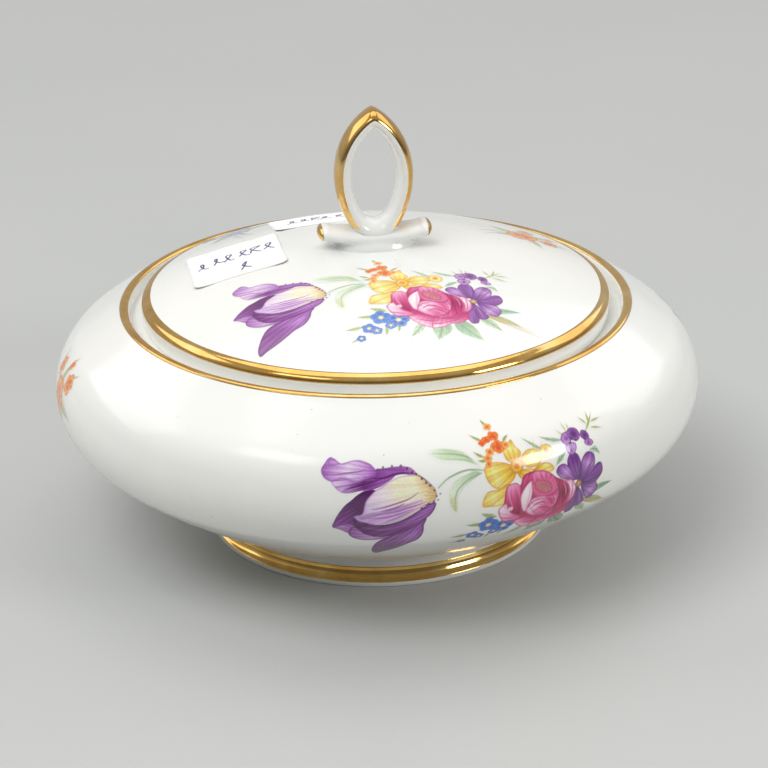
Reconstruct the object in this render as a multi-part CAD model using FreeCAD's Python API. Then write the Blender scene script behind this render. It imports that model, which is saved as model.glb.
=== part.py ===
import FreeCAD, Part
import math
import os

os.makedirs("parts", exist_ok=True)
V = FreeCAD.Vector

# ---------------------------------------------------------------- sizes, mm
# Everything is turned about the Z axis; the foot stands on z = 0.
# Angles of the turned outline are counted up from the horizontal, in degrees.

BELLY_RADIUS = 70.0         # widest radius of the squat round bowl
BELLY_Z = 34.0              # height of the widest place
BELLY_ARC = 13.5            # tight radius that rounds the belly over
BELLY_TOP_ANGLE = 54.5      # where the belly runs into the shoulder
BELLY_LOW_ANGLE = -50.0     # where the belly runs into the underside
SHOULDER_ARC = 420.0        # almost straight shoulder up to the mouth
UNDERSIDE_ARC = 102.0       # long sweep down to the foot
WALL = 3.2                  # porcelain thickness

MOUTH_R = 55.4              # outer edge of the rounded lip
LIP_TOP_R = 54.4
LIP_TOP_Z = 51.6
RECESS_R = 53.3             # wall of the seat that the lid drops into
LEDGE_Z = 48.5              # ledge that carries the lid
LEDGE_INNER_R = 45.6
LEDGE_ANGLE = 80.0          # the inner belly leaves for the ledge here

FOOT_TOP_R = 35.6           # foot ring where it meets the bowl
FOOT_NECK_R = 35.85
FOOT_NECK_Z = 3.9
FOOT_EDGE_R = 37.6
FOOT_EDGE_Z = 1.0
FOOT_INNER_R = 32.6

LID_R = 50.6                # outer radius of the lid
LID_SHOULDER = 1.9          # rounding between the dome and the edge
LID_SHOULDER_Z = 51.7
LID_CROWN_Z = 63.6
LID_THICK = 3.0
LID_SKIRT_R = 47.4          # inner radius of the lid's standing edge
LID_LAND_Z = 51.0           # flat land under the lid
LID_LAND_R = 41.9
LID_BAND_R = 48.6           # inner edge of the gold band on the lid

RING_OUT_R = 45.3           # locating ring under the lid
RING_IN_R = 42.7
RING_LOW_Z = 45.2
RING_GAP = 0.1              # running gap below the land

LOOP_HALF_W = 6.65          # finial loop, centreline half width
LOOP_MID_Z = 79.3           # widest height of the loop
LOOP_TOP_ARC = 15.5         # centreline radius above the widest place
LOOP_LOW_ARC = 19.75        # centreline radius below it
LOOP_HALF_T = 1.75          # half thickness of a limb, seen from the front
LOOP_HALF_D = 4.0           # half depth of a limb, front to back

ARM_TIP_X = 10.6            # ribbon arms under the loop
ARM_ARC = 50.0
ARM_MID_Z = 65.6
ARM_HALF_T = 1.5
ARM_HALF_D = 3.9
TIP_R = 1.75                # rolled end of an arm

SKIN_GAP = 0.02             # painted and gilded layers sit just off the glaze
GILD_T = 0.08
FILM_T = 0.05
PAPER_T = 0.12

TULIP_BASE = (-19.5, 6.5)   # from the middle of the rose, on the transfer sheet


# ------------------------------------------------------------ small helpers
def polar(centre, radius, angle):
    a = math.radians(angle)
    return (centre[0] + radius * math.cos(a), centre[1] + radius * math.sin(a))


def rz(p):
    """A point of the turned outline, radius and height."""
    return V(p[0], 0, p[1])


def line(a, b):
    return Part.LineSegment(rz(a), rz(b)).toShape()


def arc(centre, radius, a0, a1):
    mid = polar(centre, radius, (a0 + a1) / 2)
    ends = polar(centre, radius, a0), polar(centre, radius, a1)
    return Part.Arc(rz(ends[0]), rz(mid), rz(ends[1])).toShape()


def bend(a, m, b):
    return Part.Arc(rz(a), rz(m), rz(b)).toShape()


def turn(edges):
    """Closed outline in the XZ plane turned a full circle about Z."""
    face = Part.Face(Part.Wire(Part.__sortEdges__(edges)))
    return face.revolve(V(0, 0, 0), V(0, 0, 1), 360)


def circle_through(a, m, b):
    """Centre and radius of the circle through three outline points."""
    c = Part.Arc(rz(a), rz(m), rz(b)).toShape().Curve.Center
    return (c.x, c.z), math.hypot(a[0] - c.x, a[1] - c.z)


def angle_of(centre, p):
    return math.degrees(math.atan2(p[1] - centre[1], p[0] - centre[0]))


def band(centre, radius, a0, a1, gap, thick):
    """Turned skin that follows one arc of an outline."""
    low, high = radius + gap, radius + gap + thick
    return turn([
        arc(centre, low, a0, a1),
        line(polar(centre, low, a1), polar(centre, high, a1)),
        arc(centre, high, a1, a0),
        line(polar(centre, high, a0), polar(centre, low, a0)),
    ])


def solids(shape):
    """The closed solids of a boolean result as one shape."""
    found = shape.Solids
    return found[0] if len(found) == 1 else Part.makeCompound(found)


def save(name, shape):
    solids(shape).exportStep("parts/" + name + ".step")


# ------------------------------------------------------- outlines in common
BELLY_C = (BELLY_RADIUS - BELLY_ARC, BELLY_Z)
UNDER_C = polar(BELLY_C, BELLY_ARC - UNDERSIDE_ARC, BELLY_LOW_ANGLE)
SHOULDER_C = polar(BELLY_C, BELLY_ARC - SHOULDER_ARC, BELLY_TOP_ANGLE)
UNDER_END = -math.degrees(math.acos((FOOT_TOP_R - UNDER_C[0]) / UNDERSIDE_ARC))
SHOULDER_END = math.degrees(math.acos((MOUTH_R - SHOULDER_C[0]) / SHOULDER_ARC))
JOIN = polar(UNDER_C, UNDERSIDE_ARC, UNDER_END)
MOUTH = polar(SHOULDER_C, SHOULDER_ARC, SHOULDER_END)

# The dome touches the rounding of the edge, which fixes its radius.
EDGE_C = (LID_R - LID_SHOULDER, LID_SHOULDER_Z)
RISE = LID_CROWN_Z - LID_SHOULDER_Z
DOME_R = (EDGE_C[0] ** 2 + RISE ** 2 - LID_SHOULDER ** 2) / (2 * (RISE - LID_SHOULDER))
DOME_C = (0.0, LID_CROWN_Z - DOME_R)
DOME_END = angle_of(DOME_C, EDGE_C)


def dome_z(radius, drop=0.0):
    return DOME_C[1] + math.sqrt((DOME_R - drop) ** 2 - radius ** 2)


# --------------------------------------------------------------------- bowl
floor_z = JOIN[1] + WALL
inner_end = -math.degrees(math.asin((UNDER_C[1] - floor_z) / (UNDERSIDE_ARC - WALL)))
inner_floor = polar(UNDER_C, UNDERSIDE_ARC - WALL, inner_end)
ledge_root = polar(BELLY_C, BELLY_ARC - WALL, LEDGE_ANGLE)
nose_r = LEDGE_INNER_R + 0.8
slope = math.tan(math.radians(90 - LEDGE_ANGLE))
nose_low = (nose_r, ledge_root[1] + (ledge_root[0] - nose_r) * slope)
nose_mid = (LEDGE_INNER_R, (nose_low[1] + LEDGE_Z) / 2)
recess_foot = (RECESS_R - 0.2, LEDGE_Z + 0.8)

bowl = turn([
    line((0, JOIN[1]), JOIN),
    arc(UNDER_C, UNDERSIDE_ARC, UNDER_END, BELLY_LOW_ANGLE),
    arc(BELLY_C, BELLY_ARC, BELLY_LOW_ANGLE, BELLY_TOP_ANGLE),
    arc(SHOULDER_C, SHOULDER_ARC, BELLY_TOP_ANGLE, SHOULDER_END),
    bend(MOUTH, (LIP_TOP_R, LIP_TOP_Z), (RECESS_R, 50.9)),
    line((RECESS_R, 50.9), recess_foot),
    bend(recess_foot, (RECESS_R - 0.45, LEDGE_Z + 0.23), (RECESS_R - 1.0, LEDGE_Z)),
    line((RECESS_R - 1.0, LEDGE_Z), (nose_r, LEDGE_Z)),
    bend((nose_r, LEDGE_Z), nose_mid, nose_low),
    line(nose_low, ledge_root),
    arc(BELLY_C, BELLY_ARC - WALL, LEDGE_ANGLE, BELLY_LOW_ANGLE),
    arc(UNDER_C, UNDERSIDE_ARC - WALL, BELLY_LOW_ANGLE, inner_end),
    line(inner_floor, (0, floor_z)),
    line((0, floor_z), (0, JOIN[1])),
])
save("bowl", bowl)

lip_c, lip_r = circle_through(MOUTH, (LIP_TOP_R, LIP_TOP_Z), (RECESS_R, 50.9))
save("bowl_mouth_gilding", band(
    lip_c, lip_r, angle_of(lip_c, MOUTH) - 2, angle_of(lip_c, (RECESS_R, 50.9)) - 12,
    SKIN_GAP, GILD_T))

# ---------------------------------------------------------------- foot ring
# The flare is a hollow curve, so its centre lies outside the foot.
widen = FOOT_EDGE_R - FOOT_NECK_R
drop = FOOT_NECK_Z - FOOT_EDGE_Z
flare_r = (widen ** 2 + drop ** 2) / (2 * widen)
flare_c = (FOOT_NECK_R + flare_r, FOOT_NECK_Z)
flare_low = angle_of(flare_c, (FOOT_EDGE_R, FOOT_EDGE_Z)) % 360

foot = turn([
    line((FOOT_INNER_R, JOIN[1]), (FOOT_TOP_R, JOIN[1])),
    line((FOOT_TOP_R, JOIN[1]), (FOOT_NECK_R, FOOT_NECK_Z)),
    arc(flare_c, flare_r, 180, flare_low),
    line((FOOT_EDGE_R, FOOT_EDGE_Z), (FOOT_EDGE_R, 0.5)),
    bend((FOOT_EDGE_R, 0.5), (FOOT_EDGE_R - 0.15, 0.15), (FOOT_EDGE_R - 0.5, 0)),
    line((FOOT_EDGE_R - 0.5, 0), (FOOT_INNER_R + 2.0, 0)),
    bend((FOOT_INNER_R + 2.0, 0), (FOOT_INNER_R + 1.55, 0.2), (FOOT_INNER_R + 1.3, 0.7)),
    line((FOOT_INNER_R + 1.3, 0.7), (FOOT_INNER_R, JOIN[1])),
])
save("foot_ring", foot)
save("foot_gilding", band(flare_c, flare_r, 180, flare_low - 1, -SKIN_GAP, -GILD_T))

# ---------------------------------------------------------------------- lid
lid = turn([
    arc(DOME_C, DOME_R, 90, DOME_END),
    arc(EDGE_C, LID_SHOULDER, DOME_END, 0),
    line((LID_R, LID_SHOULDER_Z), (LID_R - 0.3, LEDGE_Z + 0.5)),
    bend((LID_R - 0.3, LEDGE_Z + 0.5), (LID_R - 0.47, LEDGE_Z + 0.13), (LID_R - 0.8, LEDGE_Z)),
    line((LID_R - 0.8, LEDGE_Z), (LID_SKIRT_R + 0.5, LEDGE_Z)),
    bend((LID_SKIRT_R + 0.5, LEDGE_Z), (LID_SKIRT_R + 0.15, LEDGE_Z + 0.15),
         (LID_SKIRT_R, LEDGE_Z + 0.5)),
    line((LID_SKIRT_R, LEDGE_Z + 0.5), (LID_SKIRT_R, LID_LAND_Z)),
    line((LID_SKIRT_R, LID_LAND_Z), (LID_LAND_R, LID_LAND_Z)),
    line((LID_LAND_R, LID_LAND_Z), (LID_LAND_R, dome_z(LID_LAND_R, LID_THICK))),
    arc(DOME_C, DOME_R - LID_THICK,
        math.degrees(math.acos(LID_LAND_R / (DOME_R - LID_THICK))), 90),
    line((0, LID_CROWN_Z - LID_THICK), (0, LID_CROWN_Z)),
])
save("lid", lid)

ring_top = LID_LAND_Z - RING_GAP
save("lid_locating_ring", turn([
    line((RING_IN_R, ring_top), (RING_OUT_R, ring_top)),
    line((RING_OUT_R, ring_top), (RING_OUT_R, RING_LOW_Z + 0.8)),
    bend((RING_OUT_R, RING_LOW_Z + 0.8), (RING_OUT_R - 0.9, RING_LOW_Z),
         (RING_IN_R + 0.3, RING_LOW_Z + 0.8)),
    line((RING_IN_R + 0.3, RING_LOW_Z + 0.8), (RING_IN_R, ring_top)),
]))

# One gold band covers the rounded edge and a little of the dome above it. It is so thin that
# short straight steps are used, so that its two skins stay the same distance apart everywhere.
GILD_STEPS = 12
gild_low, gild_high = SKIN_GAP, SKIN_GAP + GILD_T
dome_edge = math.degrees(math.acos(LID_BAND_R / DOME_R))
gild_angles = [10 + (DOME_END - 10) * i / GILD_STEPS for i in range(GILD_STEPS + 1)]
gild_skins = [
    [polar(EDGE_C, LID_SHOULDER + gap, a) for a in gild_angles] + [polar(DOME_C, DOME_R + gap, dome_edge)]
    for gap in (gild_low, gild_high)]
gild_ring = gild_skins[0] + gild_skins[1][::-1]
save("lid_edge_gilding", turn([line(a, b) for a, b in zip(gild_ring, gild_ring[1:] + gild_ring[:1])]))


# ------------------------------------------------------------------- finial
def ellipse_face(cx, cz, half_t, half_d, outer_only=False):
    """Upright oval section in a plane of constant Z, thin along X, deep along Y."""
    oval = Part.Ellipse(V(cx, half_d, cz), V(cx + half_t, 0, cz), V(cx, 0, cz))
    if not outer_only:
        return Part.Face(Part.Wire([oval.toShape()]))
    half = oval.toShape(-math.pi / 2 - 0.25, math.pi / 2 + 0.25)
    if half.CenterOfMass.x < cx:
        half = oval.toShape(math.pi / 2 - 0.25, 3 * math.pi / 2 + 0.25)
    chord = Part.LineSegment(half.Vertexes[0].Point, half.Vertexes[-1].Point).toShape()
    return Part.Face(Part.Wire([half, chord]))


def limb(half_t, half_d):
    """Right-hand limb: two tangent arcs of an oval bar, cut off at x = 0."""
    section = ellipse_face(LOOP_HALF_W, LOOP_MID_Z, half_t, half_d)
    top_c = V(LOOP_HALF_W - LOOP_TOP_ARC, 0, LOOP_MID_Z)
    low_c = V(LOOP_HALF_W - LOOP_LOW_ARC, 0, LOOP_MID_Z)
    upper = section.revolve(top_c, V(0, -1, 0), 62)
    lower = section.revolve(low_c, V(0, 1, 0), 50)
    bar = upper.fuse(lower).removeSplitter()
    return bar.common(Part.makeBox(40, 40, 60, V(0, -20, 55)))


def mirrored(shape):
    other = shape.mirror(V(0, 0, 0), V(1, 0, 0))
    return shape.fuse(other).removeSplitter()


def wedge_fill(mid_x, mid_z, fillet, arc_radius, side, depth):
    """Web that rounds the corner of the hole where the two limbs meet.

    The limb edge is an arc about (-mid_x, mid_z); the rounding touches it inside.
    """
    reach = math.sqrt((arc_radius - fillet) ** 2 - mid_x ** 2)
    cz = mid_z + side * reach
    corner_z = mid_z + side * math.sqrt(arc_radius ** 2 - mid_x ** 2)
    tx = mid_x / (arc_radius - fillet) * fillet
    tz = side * reach / (arc_radius - fillet) * fillet
    left, right = (-tx, cz + tz), (tx, cz + tz)
    top = corner_z + side * 1.0
    face = Part.Face(Part.Wire([
        bend(left, (0, cz + side * fillet), right),
        line(right, (tx + 0.9, top)),
        line((tx + 0.9, top), (-tx - 0.9, top)),
        line((-tx - 0.9, top), left),
    ]))
    face.translate(V(0, -depth, 0))
    return face.extrude(V(0, 2 * depth, 0))


arm_c = (0.0, ARM_MID_Z + ARM_ARC)
arm_angle = math.degrees(math.asin(ARM_TIP_X / ARM_ARC))
arm_section = ellipse_face(0, 0, ARM_HALF_T, ARM_HALF_D)
arm_section.rotate(V(0, 0, 0), V(0, 1, 0), 90)
arm_section.translate(V(0, 0, ARM_MID_Z))
arm_section.rotate(V(0, 0, arm_c[1]), V(0, 1, 0), arm_angle)
arms = arm_section.revolve(V(0, 0, arm_c[1]), V(0, -1, 0), 2 * arm_angle)
tip_z = arm_c[1] - math.sqrt(ARM_ARC ** 2 - ARM_TIP_X ** 2)


def roll(grow=0.0):
    """Rolled end of the right arm: a ball drawn out front to back."""
    ball = Part.makeSphere(1.0)
    stretch = FreeCAD.Matrix()
    stretch.scale(TIP_R + grow, ARM_HALF_D + 0.15 + grow, TIP_R + grow)
    ball = ball.transformGeometry(stretch)
    ball.translate(V(ARM_TIP_X, 0, tip_z))
    return ball


mound = Part.makeSphere(1.0)
squash = FreeCAD.Matrix()
squash.scale(8.6, 5.4, 4.3)
mound = mound.transformGeometry(squash)
mound.translate(V(0, 0, 62.6))
dome_ball = Part.makeSphere(DOME_R, V(0, 0, DOME_C[1]))
right_roll = roll()
left_roll = right_roll.mirror(V(0, 0, 0), V(1, 0, 0))
base = arms.fuse(right_roll).fuse(left_roll).fuse(mound).cut(dome_ball)
save("finial_ribbon_base", base)

loop = mirrored(limb(LOOP_HALF_T, LOOP_HALF_D))
top_web = wedge_fill(LOOP_TOP_ARC - LOOP_HALF_W, LOOP_MID_Z, 1.3, LOOP_TOP_ARC - LOOP_HALF_T, 1, 2.4)
low_web = wedge_fill(LOOP_LOW_ARC - LOOP_HALF_W, LOOP_MID_Z, 2.2, LOOP_LOW_ARC - LOOP_HALF_T, -1, 2.8)
loop = loop.fuse(top_web).fuse(low_web).cut(base)
loop = max(loop.Solids, key=lambda s: s.Volume)
save("finial_loop", loop)

# The outer half of the loop is gilded from the ribbon crossing to the point.
skin = limb(LOOP_HALF_T + gild_high, LOOP_HALF_D + gild_high)
skin = skin.cut(limb(LOOP_HALF_T + gild_low, LOOP_HALF_D + gild_low))


def inner_half(arc_radius):
    """Drum that takes in the limb from its centreline inwards."""
    return Part.makeCylinder(arc_radius + 0.25, 30, V(LOOP_HALF_W - arc_radius, -15, LOOP_MID_Z),
                             V(0, 1, 0))


upper_skin = skin.common(Part.makeBox(40, 40, 40, V(0, -20, LOOP_MID_Z)))
upper_skin = upper_skin.cut(inner_half(LOOP_TOP_ARC))
lower_skin = skin.common(Part.makeBox(40, 40, LOOP_MID_Z - 68.2, V(0, -20, 68.2)))
lower_skin = lower_skin.cut(inner_half(LOOP_LOW_ARC))
half_skin = upper_skin.fuse(lower_skin).removeSplitter()
save("finial_loop_gilding", mirrored(half_skin))

cap = roll(gild_high).cut(roll(gild_low))
cap = cap.common(Part.makeBox(4, 20, 8, V(ARM_TIP_X + 0.75, -10, 63)))
save("finial_tip_gilding", Part.makeCompound([cap, cap.mirror(V(0, 0, 0), V(1, 0, 0))]))

# ------------------------------------------------------- paper price labels
lid_paper = Part.makeSphere(DOME_R + SKIN_GAP + PAPER_T, V(0, 0, DOME_C[1]))
lid_paper = lid_paper.cut(Part.makeSphere(DOME_R + SKIN_GAP, V(0, 0, DOME_C[1])))


def label(cx, cy, long_side, short_side, angle):
    """Rounded rectangle of paper lying on the dome."""
    block = Part.makeBox(long_side, short_side, 30, V(-long_side / 2, -short_side / 2, 45))
    corners = [e for e in block.Edges if abs(e.tangentAt(e.FirstParameter).z) > 0.99]
    block = block.makeFillet(1.6, corners)
    block.rotate(V(0, 0, 0), V(0, 0, 1), angle)
    block.translate(V(cx, cy, 0))
    return lid_paper.common(block)


save("front_label", label(-29.6, 5.6, 20.2, 21.6, 2.0))
save("rear_label", label(-9.2, 27.0, 21.6, 15.0, 3.0))


# ------------------------------------------------ printed flower transfers
def on_lid(cx, cy, angle=0.0):
    """Sheet coordinates laid flat over the dome."""
    a = math.radians(angle)

    def place(p, q):
        return V(cx + p * math.cos(a) - q * math.sin(a), cy + p * math.sin(a) + q * math.cos(a), 45)
    return place


def belly_point(s):
    """Radius and height at distance s along the bowl outline, up from the widest place."""
    low_len = math.radians(-BELLY_LOW_ANGLE) * BELLY_ARC
    top_len = math.radians(BELLY_TOP_ANGLE) * BELLY_ARC
    if s < -low_len:
        extra = math.degrees((s + low_len) / UNDERSIDE_ARC)
        return polar(UNDER_C, UNDERSIDE_ARC, BELLY_LOW_ANGLE + extra)
    if s > top_len:
        extra = math.degrees((s - top_len) / SHOULDER_ARC)
        return polar(SHOULDER_C, SHOULDER_ARC, BELLY_TOP_ANGLE + extra)
    return polar(BELLY_C, BELLY_ARC, math.degrees(s / BELLY_ARC))


def on_bowl(azimuth, rise, facing):
    """Sheet coordinates wrapped on the belly, seen flat from the facing direction."""
    f = math.radians(facing)

    def place(p, q):
        a = math.radians(azimuth) + p / BELLY_RADIUS
        r, z = belly_point(rise + q)
        across = r * math.sin(a - f)
        return V(30 * math.cos(f) - across * math.sin(f), 30 * math.sin(f) + across * math.cos(f), z)
    return place


def curve(place, a, m, b):
    return Part.Arc(place(*a), place(*m), place(*b)).toShape()


def petal(place, root, tip, width, lean=0.0):
    """Pointed petal or leaf: two arcs from root to tip."""
    dx, dy = tip[0] - root[0], tip[1] - root[1]
    length = math.hypot(dx, dy)
    nx, ny = -dy / length, dx / length
    mx, my = root[0] + dx / 2, root[1] + dy / 2
    left = (mx + nx * (width / 2 + lean), my + ny * (width / 2 + lean))
    right = (mx - nx * (width / 2 - lean), my - ny * (width / 2 - lean))
    return Part.Face(Part.Wire([curve(place, root, left, tip), curve(place, tip, right, root)]))


def bloom(place, centre, radius, lobes, bulge=0.28):
    """Round flower with a scalloped edge."""
    edges = []
    for i in range(lobes):
        a0, a1 = 2 * math.pi * i / lobes, 2 * math.pi * (i + 1) / lobes
        am = (a0 + a1) / 2
        r0, rm = radius * (1 - bulge), radius
        ring = [(r0, a0), (rm, am), (r0, a1)]
        pts = [(centre[0] + r * math.cos(a), centre[1] + r * math.sin(a)) for r, a in ring]
        edges.append(curve(place, *pts))
    return Part.Face(Part.Wire(edges))


def star(place, centre, radius, count, width, hub=0.8, turn_by=0.0):
    """Open flower of narrow petals round a hub."""
    faces = [bloom(place, centre, hub, 6)]
    for i in range(count):
        a = math.radians(turn_by) + 2 * math.pi * i / count
        tip = (centre[0] + radius * math.cos(a), centre[1] + radius * math.sin(a))
        faces.append(petal(place, centre, tip, width))
    return faces


def merged(faces):
    whole = faces[0]
    for face in faces[1:]:
        whole = whole.fuse(face)
    return whole.removeSplitter()


def printed(name, groups, film, push):
    """Cut each colour group out of the film, first group on top."""
    taken = None
    for part, faces in groups:
        area = merged(faces)
        visible = area if taken is None else area.cut(taken).removeSplitter()
        taken = area if taken is None else taken.fuse(area).removeSplitter()
        prism = [face.extrude(push) for face in visible.Faces]
        pieces = []
        for block in prism:
            pieces += film.common(block).Solids
        save(name + "_" + part, Part.makeCompound([s for s in pieces if s.Volume > 0.01]))


def bouquet(place, tulip_turn=0.0, tulip_size=1.0):
    """Main spray: tulip, rose, open violet flower, yellow flowers, blue flowers, leaves."""
    lean = math.radians(tulip_turn)

    def from_base(p, q):
        """A tulip point given from the base of the flower, where the stem starts."""
        along = math.cos(lean) * p - math.sin(lean) * q
        across = math.sin(lean) * p + math.cos(lean) * q
        return (TULIP_BASE[0] + tulip_size * along, TULIP_BASE[1] + tulip_size * across)

    tulip = [
        petal(place, from_base(0.0, 0.0), from_base(-23.0, 3.5), 7.0 * tulip_size, 1.2),
        petal(place, from_base(0.0, -0.5), from_base(-20.5, -10.5), 11.0 * tulip_size, 0.8),
        petal(place, from_base(-1.0, -1.5), from_base(-14.1, -20.5), 8.0 * tulip_size, -1.0),
        petal(place, from_base(0.5, 0.0), from_base(-18.5, -4.5), 12.0 * tulip_size),
    ]
    rose = [bloom(place, (0, 0), 8.2, 7, 0.12)]
    violet = star(place, (11.0, 1.0), 6.2, 8, 3.0, 1.2, 10)
    violet += [bloom(place, (12.5, 11.0), 2.4, 5), bloom(place, (16.0, 9.6), 1.6, 5)]
    orange = [bloom(place, (-8.0, 13.5), 2.4, 5), bloom(place, (-7.2, 17.4), 1.5, 5),
              bloom(place, (-4.6, 14.8), 1.6, 5)]
    yellow = [bloom(place, (-7.0, 6.6), 5.6, 6, 0.22), bloom(place, (0.6, 10.6), 4.2, 5, 0.22),
              bloom(place, (-16.4, 4.8), 1.5, 5)]
    blue = [bloom(place, (-8.0, -5.4), 2.7, 5), bloom(place, (-11.8, -7.4), 2.2, 5),
            bloom(place, (-15.2, -8.8), 1.5, 5)]
    leaves = [
        petal(place, (-8.0, 10.5), (-24.0, 14.4), 3.4, 0.9),
        petal(place, (-8.0, 9.0), (-18.0, -1.6), 3.6, -1.4),
        petal(place, (-4.0, 12.0), (-1.0, 19.0), 2.2),
        petal(place, (4.0, 6.0), (20.0, 15.0), 3.6, 1.0),
        petal(place, (8.0, 6.0), (9.6, 15.6), 2.6),
        petal(place, (12.0, 0.0), (20.5, -2.6), 3.0),
        petal(place, (6.0, -3.0), (21.0, -8.8), 3.2, -0.6),
        petal(place, (0.0, -6.0), (13.0, -9.6), 3.4, -0.8),
        petal(place, (-2.0, -6.0), (5.0, -11.6), 2.8),
        petal(place, (-6.0, -6.0), (-18.6, -10.6), 2.4),
    ]
    return [("rose", rose), ("violet_flowers", violet), ("tulip", tulip), ("orange_sprig", orange),
            ("yellow_flowers", yellow), ("blue_flowers", blue), ("leaves", leaves)]


def small_spray(place, size):
    """Lesser spray: one scalloped flower, two buds and a few leaves."""
    def at(p, q):
        return (p * size, q * size)
    flowers = [bloom(place, at(0, 0), 4.0 * size, 6, 0.2),
               bloom(place, at(4.8, 4.2), 2.2 * size, 5),
               bloom(place, at(-4.4, 4.6), 2.0 * size, 5)]
    leaves = [petal(place, at(0, 0), at(9.5, -1.5), 2.8 * size),
              petal(place, at(0, 0), at(-9.0, -2.5), 2.8 * size),
              petal(place, at(0, 0), at(1.5, 9.5), 2.6 * size),
              petal(place, at(0, 0), at(-2.0, -7.5), 2.4 * size)]
    return [("flowers", flowers), ("leaves", leaves)]


lid_film = Part.makeSphere(DOME_R + SKIN_GAP + FILM_T, V(0, 0, DOME_C[1]))
lid_film = lid_film.cut(Part.makeSphere(DOME_R + SKIN_GAP, V(0, 0, DOME_C[1])))
lid_film = lid_film.common(Part.makeCylinder(LID_BAND_R - 0.2, 30, V(0, 0, 45)))
up = V(0, 0, 30)
printed("lid_bouquet", bouquet(on_lid(6.7, -28.3), -14.0, 0.9), lid_film, up)
printed("lid_blue_spray", small_spray(on_lid(-28.0, 32.0, 30), 0.95), lid_film, up)
printed("lid_orange_spray", small_spray(on_lid(35.0, 15.0, -60), 0.95), lid_film, up)


def bowl_film(top, bottom):
    """Thin layer over the outside of the bowl between two distances from the widest place."""
    low, high = SKIN_GAP, SKIN_GAP + FILM_T
    under = BELLY_LOW_ANGLE + math.degrees((bottom - math.radians(BELLY_LOW_ANGLE) * BELLY_ARC)
                                           / UNDERSIDE_ARC)
    over = BELLY_TOP_ANGLE + math.degrees((top - math.radians(BELLY_TOP_ANGLE) * BELLY_ARC)
                                          / SHOULDER_ARC)
    edges = []
    for extra, flip in ((low, False), (high, True)):
        edges += [
            arc(UNDER_C, UNDERSIDE_ARC + extra, under, BELLY_LOW_ANGLE),
            arc(BELLY_C, BELLY_ARC + extra, BELLY_LOW_ANGLE, BELLY_TOP_ANGLE),
            arc(SHOULDER_C, SHOULDER_ARC + extra, BELLY_TOP_ANGLE, over),
        ]
    edges.append(line(polar(UNDER_C, UNDERSIDE_ARC + low, under),
                      polar(UNDER_C, UNDERSIDE_ARC + high, under)))
    edges.append(line(polar(SHOULDER_C, SHOULDER_ARC + low, over),
                      polar(SHOULDER_C, SHOULDER_ARC + high, over)))
    return turn(edges)


film = bowl_film(20.0, -30.0)
for name, azimuth, rise, facing in (
        ("bowl_front_bouquet", -70.9, -2.0, -80.0),
        ("bowl_back_bouquet", 109.1, -2.0, 100.0)):
    f = math.radians(facing)
    push = V(math.cos(f), math.sin(f), 0) * 50
    printed(name, bouquet(on_bowl(azimuth, rise, facing)), film, push)
for name, azimuth in (("bowl_left_spray", -174.0), ("bowl_right_spray", 6.0)):
    f = math.radians(azimuth)
    push = V(math.cos(f), math.sin(f), 0) * 50
    printed(name, small_spray(on_bowl(azimuth, 2.0, azimuth), 1.15), film, push)
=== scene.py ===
import math
import bpy
import bmesh
import numpy as np
from mathutils import Matrix, Vector


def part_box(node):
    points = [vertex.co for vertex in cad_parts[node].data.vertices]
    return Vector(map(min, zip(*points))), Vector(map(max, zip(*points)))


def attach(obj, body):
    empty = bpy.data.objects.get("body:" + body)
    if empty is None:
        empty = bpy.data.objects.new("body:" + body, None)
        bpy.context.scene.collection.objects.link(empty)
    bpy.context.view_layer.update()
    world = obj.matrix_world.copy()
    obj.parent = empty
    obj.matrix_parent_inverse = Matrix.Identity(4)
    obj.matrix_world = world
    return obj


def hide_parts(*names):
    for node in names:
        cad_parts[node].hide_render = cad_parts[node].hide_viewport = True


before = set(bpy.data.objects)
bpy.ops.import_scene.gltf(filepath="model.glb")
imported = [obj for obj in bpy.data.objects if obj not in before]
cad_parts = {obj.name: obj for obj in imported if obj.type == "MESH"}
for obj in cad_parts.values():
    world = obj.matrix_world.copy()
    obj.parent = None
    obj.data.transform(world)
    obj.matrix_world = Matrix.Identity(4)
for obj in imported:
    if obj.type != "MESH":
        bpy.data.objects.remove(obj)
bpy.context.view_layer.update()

# Lengths in this script are millimetres; they turn into metres when a mesh is made.
MM = 0.001


def box_mm(node):
    low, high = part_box(node)
    return low / MM, high / MM


# ------------------------------------------------------- sizes of the outline
BELLY_R = box_mm("bowl")[1].x
LIP_Z = box_mm("bowl")[1].z
JOIN_Z = box_mm("foot_ring")[1].z
FOOT_EDGE_R = box_mm("foot_ring")[1].x
LID_R = box_mm("lid")[1].x
CROWN_Z = box_mm("lid")[1].z
LEDGE_Z = box_mm("lid")[0].z
RING_R = box_mm("lid_locating_ring")[1].x
RING_TOP = box_mm("lid_locating_ring")[1].z
RING_LOW = box_mm("lid_locating_ring")[0].z

WALL = 3.2
BELLY_Z = 34.0
BELLY_ARC = 13.5
TOP_ANGLE = 54.5
LOW_ANGLE = -50.0
SHOULDER_ARC = 420.0
UNDERSIDE_ARC = 102.0
MOUTH_R = BELLY_R - 14.6
FOOT_TOP_R = 35.6
RECESS_R = 53.3
LEDGE_IN_R = 45.6
SHOULDER = 1.9              # rounding of the lid's edge
SHOULDER_Z = 51.7
LID_THICK = 3.0
SKIRT_R = 47.4
LAND_R = 41.9
LAND_Z = 51.0
BAND_R = 48.6               # inner edge of the gold band on the lid
TURNS = 288                 # steps round a turned piece

GOLD_LIFT = 0.06            # how far gilding and enamel stand off the glaze
PAINT_LIFT = 0.035
PAPER_LOW, PAPER_HIGH = 0.02, 0.14


def polar(centre, radius, angle):
    a = math.radians(angle)
    return (centre[0] + radius * math.cos(a), centre[1] + radius * math.sin(a))


def arc(centre, radius, a0, a1, steps):
    return [polar(centre, radius, a0 + (a1 - a0) * i / steps) for i in range(steps + 1)]


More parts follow.
